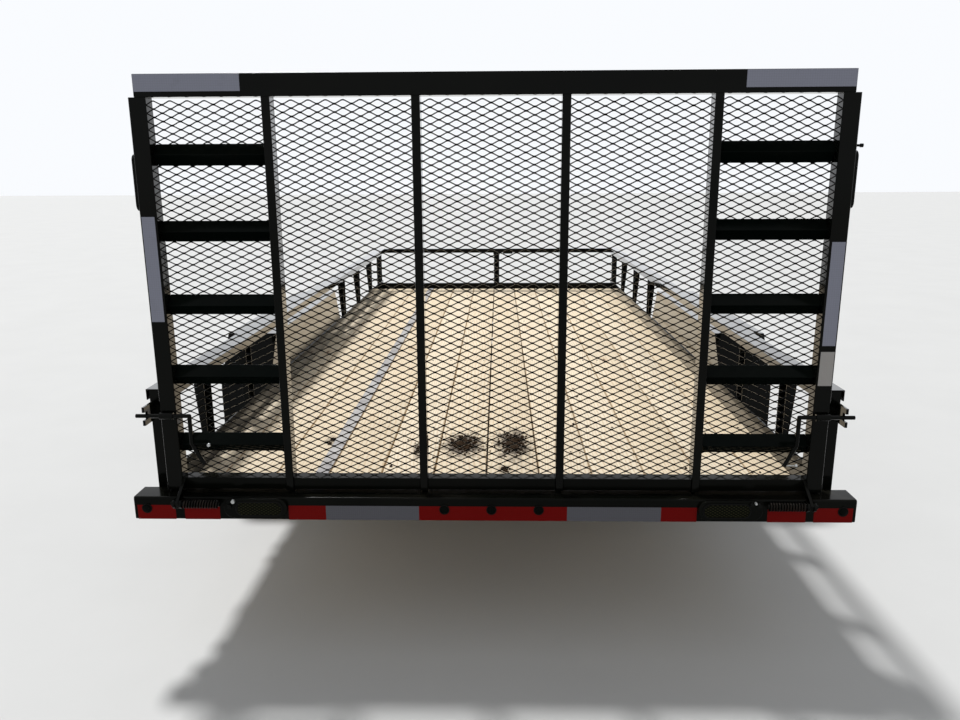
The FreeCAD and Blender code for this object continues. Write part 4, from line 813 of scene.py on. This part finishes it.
# %% Turn the tyres
TYRE_STEPS = 132
TYRE_SECTION = (
    # distance from the middle plane and radius, from the bead over the side wall to the tread
    (-0.0665, 0.1925), (-0.0725, 0.2010), (-0.0870, 0.2120), (-0.0945, 0.2240), (-0.0985, 0.2420),
    (-0.0992, 0.2440), (-0.1008, 0.2455), (-0.1012, 0.2480), (-0.1015, 0.2670), (-0.1003, 0.2850),
    (-0.0990, 0.2860), (-0.0965, 0.2990), (-0.0925, 0.3120), (-0.0880, 0.3225), (-0.0820, 0.3310),
    (-0.0740, 0.3362), (-0.0560, 0.3402), (-0.0540, 0.3330), (-0.0470, 0.3330), (-0.0450, 0.3416),
    (-0.0240, 0.3431), (-0.0220, 0.3350), (-0.0150, 0.3350), (-0.0130, 0.3436), (0.0, 0.3440),
)
SLOT_DEPTH = 0.0050
SLOT_FROM_X = 0.055
SLOT_FROM_RADIUS = 0.320


def tyre_mesh(name, middle):
    """A tyre turned about its axle, with grooves and shoulder slots."""
    section = TYRE_SECTION + tuple((-x, radius) for x, radius in TYRE_SECTION[-2::-1])
    work = bmesh.new()
    rings = []
    for step in range(TYRE_STEPS):
        angle = 2 * math.pi * step / TYRE_STEPS
        ring = []
        for x, radius in section:
            if step % 3 == 0 and abs(x) > SLOT_FROM_X and radius > SLOT_FROM_RADIUS:
                radius -= SLOT_DEPTH
            spot = (middle.x + x, middle.y + radius * math.cos(angle), middle.z + radius * math.sin(angle))
            ring.append(work.verts.new(spot))
        rings.append(ring)
    ring_faces(work, rings + rings[:1])
    bmesh.ops.recalc_face_normals(work, faces=work.faces)
    return plain_mesh(work, name, 38.0)


for wheel in WHEELS:
    low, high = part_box("tyre_" + wheel)
    tyre = put(tyre_mesh("tread_tyre_" + wheel, (low + high) / 2), "wheel_" + wheel, RUBBER)
    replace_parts(tyre, "tyre_" + wheel)
print("tyres", len(WHEELS), "of", len(tyre.data.polygons), "faces")

# %% [markdown]
# ## Nuts, grease caps and valves
# A trailer wheel is painted, but the nuts and the hub's grease cap are plated. They are part of the
# wheel's own mesh here, so their faces are picked by where they lie, on the nuts' circle or near the
# axle, and given the plated finish as a second material. A short rubber valve stands in each disc.

# %% Plate the nuts and add the valves
NUT_CIRCLE = 0.05715
NUT_REACH = 0.0125
NUT_FROM = 0.0052
CAP_RADIUS = 0.0425
DISC_FROM = -0.002
VALVE_PLACE = 0.118
VALVE_PARTS = (
    # distance out from the middle plane, length, radius, radius of its tip
    (0.036, 0.034, 0.0052, 0.0036),
    (0.055, 0.009, 0.0046, 0.0042),
)


def peg(work, spot, axis, length, radius, tip, sides, way=1.0):
    """Adds a round peg that lies along X when it is turned about Y, or along Y when about X."""
    sizes = {"segments": sides, "radius1": radius, "radius2": tip, "depth": length}
    made = bmesh.ops.create_cone(work, cap_ends=True, **sizes)["verts"]
    bmesh.ops.rotate(work, verts=made, cent=(0, 0, 0), matrix=Matrix.Rotation(way * math.pi / 2, 3, axis))
    bmesh.ops.translate(work, verts=made, vec=spot)


for wheel in WHEELS:
    painted = bpy.data.objects["wheel_" + wheel + "_steel"].data
    painted.materials.append(ZINC)
    low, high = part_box("tyre_" + wheel)
    middle = (low + high) / 2
    outward = 1.0 if middle.x > 0 else -1.0
    for face in painted.polygons:
        away = face.center - middle
        radius = math.hypot(away.y, away.z)
        on_nut = abs(radius - NUT_CIRCLE) < NUT_REACH and away.x * outward > NUT_FROM
        if away.x * outward > DISC_FROM and (radius < CAP_RADIUS or on_nut):
            face.material_index = 1
    valve = bmesh.new()
    for out, length, radius, tip in VALVE_PARTS:
        spot = (middle.x + outward * out, middle.y, middle.z + VALVE_PLACE)
        peg(valve, spot, "Y", length, radius, tip, 14, outward)
    put(plain_mesh(valve, "valve_" + wheel, 40.0), "wheel_" + wheel, GRIP)
    print(wheel, "plated faces", sum(face.material_index for face in painted.polygons))

# %% [markdown]
# ## Lamps
# The tail lamps are ovals held in a rubber ring; the lens is crowned, so it catches one soft light.
# The markers are small domes in the same kind of ring. Both are lofted from rings of points.

# %% Shape the lenses
LENS_PROUD = 0.006
LENS_CROWN = (
    # share of the lens radius, share of its height
    (1.0, 0.0),
    (1.0, 0.45),
    (0.93, 0.72),
    (0.72, 0.90),
    (0.40, 0.98),
    (0.12, 1.0),
)
LAMPS = (
    # node, name, half the straight run, radius, rim, material, slot
    ("tail_lamps", "tail_lamp", 0.050, 0.025, 0.0048, OVAL_LENS, "lamp_lens"),
    ("marker_lamps", "marker", 0.0, 0.016, 0.0035, ROUND_LENS, "marker_lens"),
)


def oval_ring(half_run, radius, height, steps=48):
    """Points of a flattened circle in the plane across Y, some way behind it."""
    points = []
    for step in range(steps):
        angle = 2 * math.pi * step / steps
        x = math.copysign(half_run, math.cos(angle)) + radius * math.cos(angle)
        points.append(Vector((x, -LENS_PROUD * height, radius * math.sin(angle))))
    return points


def lofted(name, middles, rings):
    """Rings of points skinned and closed at both ends, once round each middle."""
    work = bmesh.new()
    for middle in middles:
        rows = [[work.verts.new(Vector(middle) + point) for point in ring] for ring in rings]
        ring_faces(work, rows)
        work.faces.new(rows[0][::-1])
        work.faces.new(rows[-1])
    bmesh.ops.recalc_face_normals(work, faces=work.faces)
    return plain_mesh(work, name)


for node, name, half_run, radius, rim, material, slot in LAMPS:
    middles = [((low.x + high.x) / 2, high.y, (low.z + high.z) / 2) for low, high in solid_boxes(node)]
    inner = radius - rim
    crown = [oval_ring(half_run * min(1.0, 0.3 + share), inner * share, rise) for share, rise in LENS_CROWN]
    lens_piece = put(lofted(name + "_lenses", middles, crown), "chassis", material)
    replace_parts(lens_piece, node)
    holder = (
        # radius, share of the lens's height
        (radius, 0.0),
        (radius, 0.45),
        (radius - rim * 0.35, 0.62),
        (inner + rim * 0.1, 0.55),
        (inner - 0.0004, 0.2),
    )
    rings = [oval_ring(half_run, size, rise) for size, rise in holder]
    put(lofted(name + "_rings", middles, rings), "chassis", GRIP)
print("lamps made")

# %% [markdown]
# ## Tape and label
# Strips of prism tape mark the trailer's width: red and white along the bumper, white at both ends
# of the gate's top bar and down its posts. A strip is a thin film with a soft edge. Each one's ends
# were read from the photograph, and its height follows the bar that carries it.

# %% Lay the tape
bumper_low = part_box("rear_bumper")[0]
post_low, post_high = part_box("gate_post_right")
bar_low, bar_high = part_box("gate_top_bar")
TAPE_THICK = 0.0005
TAPE_LOW = bumper_low.z + 0.0012
TAPE_HIGH = bumper_low.z + 0.0490
BAR_TAPE_LOW = DECK_Z + 1.2675
BAR_TAPE_HIGH = bar_high.z - 0.0012
BUMPER_TAPES = (
    # colour, start x, end x
    (TAPE_RED, -1.1230, -1.0015),
    (TAPE_RED, -0.9726, -0.8600),
    (TAPE_RED, -0.6410, -0.5227),
    (TAPE_WHITE_SHADED, -0.5227, -0.2282),
    (TAPE_RED, -0.2282, 0.2368),
    (TAPE_WHITE_SHADED, 0.2368, 0.5299),
    (TAPE_RED, 0.5299, 0.6410),
    (TAPE_RED, 0.8600, 0.9784),
    (TAPE_RED, 1.0030, 1.1230),
)
GATE_TAPES = (
    # colour, start x, end x, low z, high z
    (TAPE_WHITE, bar_low.x + 0.0015, -0.7147, BAR_TAPE_LOW, BAR_TAPE_HIGH),
    (TAPE_WHITE, 0.7160, bar_high.x - 0.0015, BAR_TAPE_LOW, BAR_TAPE_HIGH),
    (TAPE_WHITE, -post_high.x + 0.005, -post_low.x - 0.0065, DECK_Z + 0.5996, DECK_Z + 0.9152),
    (TAPE_WHITE, post_low.x + 0.0065, post_high.x - 0.005, DECK_Z + 0.5252, DECK_Z + 0.8360),
    (LABEL_GREY, post_low.x + 0.0050, post_high.x - 0.0045, DECK_Z + 0.4005, DECK_Z + 0.5067),
)


def films(prefix, body, rows, y):
    """Thin films on a rear face, one piece for each colour."""
    sheets = {}
    for color, start_x, end_x, low_z, high_z in rows:
        film = bmesh.new()
        block(film, (start_x, y - TAPE_THICK, low_z), (end_x, y, high_z))
        bmesh.ops.bevel(film, geom=film.edges, offset=TAPE_THICK * 0.4, segments=1, affect="EDGES")
        sheets.setdefault(color, bmesh.new()).from_mesh(mesh_of(film, "film"))
    for color, sheet in sheets.items():
        put(plain_mesh(sheet, prefix + "_" + color.name), body, color)


films("bumper", "chassis", [(*row, TAPE_LOW, TAPE_HIGH) for row in BUMPER_TAPES], bumper_low.y)
films("gate", "gate", GATE_TAPES, bar_low.y)
print("tape strips", len(BUMPER_TAPES) + len(GATE_TAPES))

# %% [markdown]
# ## Pins and nuts
# Small fittings tell the eye how big things are. Each spring is held by a pin and two nuts beside the
# lamp, a bright clip keeps the right latch rod from sliding out, the left one has a pin, and a stop
# pin goes through the right gate post.

# %% Add the fittings
FITTINGS = (
    # body, material, x, z, radius, sides, depth
    ("chassis", ZINC, -0.811, 0.5455, 0.0068, 20, 0.0075),
    ("chassis", BLACK, -0.824, 0.5290, 0.0085, 6, 0.0070),
    ("chassis", BLACK, -0.797, 0.5240, 0.0070, 6, 0.0060),
    ("chassis", BLACK, 0.805, 0.5440, 0.0075, 6, 0.0075),
    ("chassis", BLACK, 0.829, 0.5400, 0.0085, 6, 0.0075),
    ("chassis", ZINC, 0.817, 0.5480, 0.0040, 16, 0.0090),
    ("gate", ZINC, -0.901, 0.7060, 0.0058, 20, 0.0060),
)
FACE_OF = {"chassis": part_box("light_boxes")[0].y, "gate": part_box("gate_rungs_left")[0].y}
HEAD_TAPER = 0.88
CLIP_PARTS = (
    # radius, length, distance out from the rod
    (0.0020, 0.040, 0.020),
    (0.0052, 0.007, 0.038),
)
STOP_PARTS = (
    # radius, length
    (0.0036, 0.046),
    (0.0056, 0.008),
)
STOP_END_X = 1.0670
STOP_Z = 1.6170

heads = {}
for body, finish, x, z, radius, sides, depth in FITTINGS:
    work = heads.setdefault((body, finish), bmesh.new())
    peg(work, (x, FACE_OF[body] + 0.001 - depth / 2, z), "X", depth, radius, radius * HEAD_TAPER, sides)
for (body, finish), work in heads.items():
    put(plain_mesh(work, body + "_heads_" + finish.name, 30.0), body, finish)

rod_points = [vertex.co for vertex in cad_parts["latch_rods"].data.vertices if vertex.co.x > 0]
foot_z = min(point.z for point in rod_points)
foot = [point for point in rod_points if point.z < foot_z + 0.006]
foot_middle = sum(foot, Vector()) / len(foot)
clip = bmesh.new()
for radius, length, shift in CLIP_PARTS:
    peg(clip, foot_middle + Vector((shift, 0.0, 0.003)), "Y", length, radius, radius, 16)
put(plain_mesh(clip, "rod_clip", 30.0), "gate", ZINC)

stop = bmesh.new()
for radius, length in STOP_PARTS:
    spot = (STOP_END_X - length / 2, (post_low.y + post_high.y) / 2, STOP_Z)
    peg(stop, spot, "Y", length, radius, radius, 16)
put(plain_mesh(stop, "gate_stop_pin", 30.0), "gate", BLACK)
print("fittings", len(FITTINGS) + 2)

# %% [markdown]
# ## Weld beads
# Where a stake meets the frame the welder left a bead, a row of small overlapping ripples, down both
# of its edges.

# %% Run the weld beads
BEAD_RADIUS = 0.0030
BEAD_PITCH = 0.0036


def bead(work, start, end):
    """A weld: ripples that overlap along a line."""
    run = end - start
    for step in range(max(2, int(run.length / BEAD_PITCH))):
        spot = start + run * (step * BEAD_PITCH / run.length)
        size = BEAD_RADIUS * chance.uniform(0.85, 1.15)
        for vertex in bmesh.ops.create_icosphere(work, subdivisions=1, radius=size)["verts"]:
            vertex.co += spot


welds = bmesh.new()
for side, name in ((-1, "left"), (1, "right")):
    frame_low, frame_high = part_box("side_frame_" + name)
    face_x = side * max(abs(frame_low.x), abs(frame_high.x))
    for low, high in solid_boxes("stakes_" + name):
        for y in (low.y, high.y):
            bead(welds, Vector((face_x, y, low.z + 0.004)), Vector((face_x, y, frame_high.z - 0.002)))
welded = put(plain_mesh(welds, "stake_welds", 50.0), "chassis", BLACK)
print("weld faces", len(welded.data.polygons))

# %% [markdown]
# ## The strip on the deck
# A narrow steel strip runs the length of the deck left of the middle, screwed down over the planks.
# It is a flat bar with eased edges.

# %% Lay the deck strip
STRIP_LEFT = -0.630
STRIP_RIGHT = -0.583
STRIP_LOW = DECK_Z - 0.0006
STRIP_HIGH = DECK_Z + 0.0030
STRIP_ENDS = (deck_low.y + 0.01, deck_high.y - 0.01)
strip = bmesh.new()
block(strip, (STRIP_LEFT, STRIP_ENDS[0], STRIP_LOW), (STRIP_RIGHT, STRIP_ENDS[1], STRIP_HIGH))
bmesh.ops.bevel(strip, geom=strip.edges, offset=0.0008, segments=2, affect="EDGES")
put(plain_mesh(strip, "deck_steel_strip"), "chassis", STRIP_METAL)
print("strip", round(STRIP_RIGHT - STRIP_LEFT, 3), "wide")

# %% [markdown]
# ## Screws in the planks
# Self-drilling screws hold each plank to every cross-member. The heads are countersunk, so only a
# small dark disc with a recess shows. Geometry Nodes puts one model on every place of a point list.

# %% Drive the screws
SCREW_SIDE_SLIP = 0.006
SCREW_LONG_SLIP = 0.008

screw = bmesh.new()
bmesh.ops.create_cone(screw, cap_ends=True, segments=12, radius1=0.0062, radius2=0.0050, depth=0.0012)
top = [face for face in screw.faces if face.normal.z > 0.9]
bmesh.ops.inset_region(screw, faces=top, thickness=0.0026)
bmesh.ops.translate(screw, verts=top[0].verts, vec=(0.0, 0.0, -0.0016))
cross_ys = [(low.y + high.y) / 2 for low, high in solid_boxes("cross_members")]
screw_places = []
for left_x, right_x in plank_edges:
    wide = right_x - left_x
    for y in cross_ys:
        for share in (0.22, 0.78) if wide > 0.1 else (0.5,):
            x = left_x + wide * share + chance.uniform(-SCREW_SIDE_SLIP, SCREW_SIDE_SLIP)
            if STRIP_LEFT - 0.01 < x < STRIP_RIGHT + 0.01:
                continue
            slip = chance.uniform(-SCREW_LONG_SLIP, SCREW_LONG_SLIP)
            screw_places.append((x, y + slip, DECK_Z - 0.0004))
cloud = bpy.data.meshes.new("screw_places")
cloud.from_pydata(screw_places, [], [])
values = {"Places": stand("screw_places", cloud), "Model": stand("screw", mesh_of(screw, "screw"))}
drive, given, end = geometry_tree("deck_screws", values)
where, what = [drive.add("ObjectInfo", {"Object": given[label]}, "Geometry") for label in values]
points = drive.add("MeshToPoints", {"Mesh": where})
copies = drive.add("InstanceOnPoints", {"Points": points, "Instance": what})
finish_tree(drive, end, copies, SCALE)
put(freeze(drive, "deck_screws", values), "chassis", SCALE)
for helper in values.values():
    bpy.data.objects.remove(helper)
print("deck screws", len(screw_places))

# %% [markdown]
# ## Crumbs of dry mud
# Two clods fell off a machine and broke on the planks. The stain is in the wood's material, and the
# crumbs are small uneven stones of mud, thick in the middle of each mark and loose around it. Each is
# a ball of twenty faces with its points pushed about.

# %% Scatter the crumbs
LOOSE_CRUMBS = 46
LOOSE_FROM_Y = -2.98


def lump(work, x, y, size):
    """One uneven crumb that lies on the deck."""
    spot = Vector((x, y, DECK_Z + size * 0.3))
    for vertex in bmesh.ops.create_icosphere(work, subdivisions=1, radius=size)["verts"]:
        vertex.co *= chance.uniform(0.65, 1.25)
        vertex.co = spot + Vector((vertex.co.x, vertex.co.y * 1.3, vertex.co.z * 0.7))


crumb_work = bmesh.new()
for x, y, half_x, half_y, crumbs in MUD_SPOTS:
    for count in range(crumbs):
        far = abs(chance.gauss(0.0, 0.55))
        angle = chance.uniform(0.0, 2 * math.pi)
        size = chance.uniform(0.0022, 0.0085) * (1.5 - min(far, 1.0))
        lump(crumb_work, x + half_x * far * math.cos(angle), y + half_y * far * math.sin(angle), size)
for count in range(LOOSE_CRUMBS):
    x = chance.uniform(-0.95, 0.95)
    y = LOOSE_FROM_Y + abs(chance.gauss(0.0, 0.55))
    lump(crumb_work, x, y, chance.uniform(0.0025, 0.0065))
crumbs_piece = put(plain_mesh(crumb_work, "mud_crumbs", 20.0), "chassis", MUD)
print("mud crumbs", len(crumbs_piece.data.polygons), "faces")

# %% [markdown]
# ## Floor and light
# The floor is a plain pale sheet and the world a pale surround that cameras and mirrors see as near
# white. One soft sun stands high over the front of the deck, because the real light came from ahead:
# the deck is bright and the gate's rear faces stay in shade.

# %% Light the scene
FLOOR_SIZE = 60.0
SUN_PLACE = (-3.0, 5.0, 10.0)
SUN_SPREAD = 8.0
SUN_STRENGTH = 2.95
WORLD_LIGHT = 0.44

floor_work = bmesh.new()
bmesh.ops.create_grid(floor_work, x_segments=1, y_segments=1, size=FLOOR_SIZE)
floor = stand("floor", mesh_of(floor_work, "floor"))
paint = Finish("floor_paint")
tone = paint.mix(paint.noise(1.5, 6.0, 0.6), (0.60, 0.60, 0.59), (0.66, 0.66, 0.65))
floor.data.materials.append(paint.done({"Base Color": tone, "Roughness": 0.85}))

sun_data = bpy.data.lights.new("high_sun", "SUN")
sun_data.angle = math.radians(SUN_SPREAD)
sun_data.energy = SUN_STRENGTH
sun = stand("high_sun", sun_data)
aim = (-Vector(SUN_PLACE)).to_track_quat("-Z", "Y").to_matrix().to_4x4()
sun.matrix_world = Matrix.Translation(SUN_PLACE) @ aim

world = bpy.data.worlds.new("surround")
world.use_nodes = True
bpy.context.scene.world = world
air = Recipe(world.node_tree)
rays = air.node("LightPath", {}).outputs
seen = air.calc("MAXIMUM", rays["Is Camera Ray"], rays["Is Glossy Ray"])
seen = air.calc("MAXIMUM", seen, rays["Is Transmission Ray"])
strength = air.remap(seen, 0.0, 1.0, WORLD_LIGHT, 1.0)
air.fill(world.node_tree.nodes["Background"], {"Color": (0.95, 0.97, 1.0, 1.0), "Strength": strength})
print("floor, one sun and the surround")
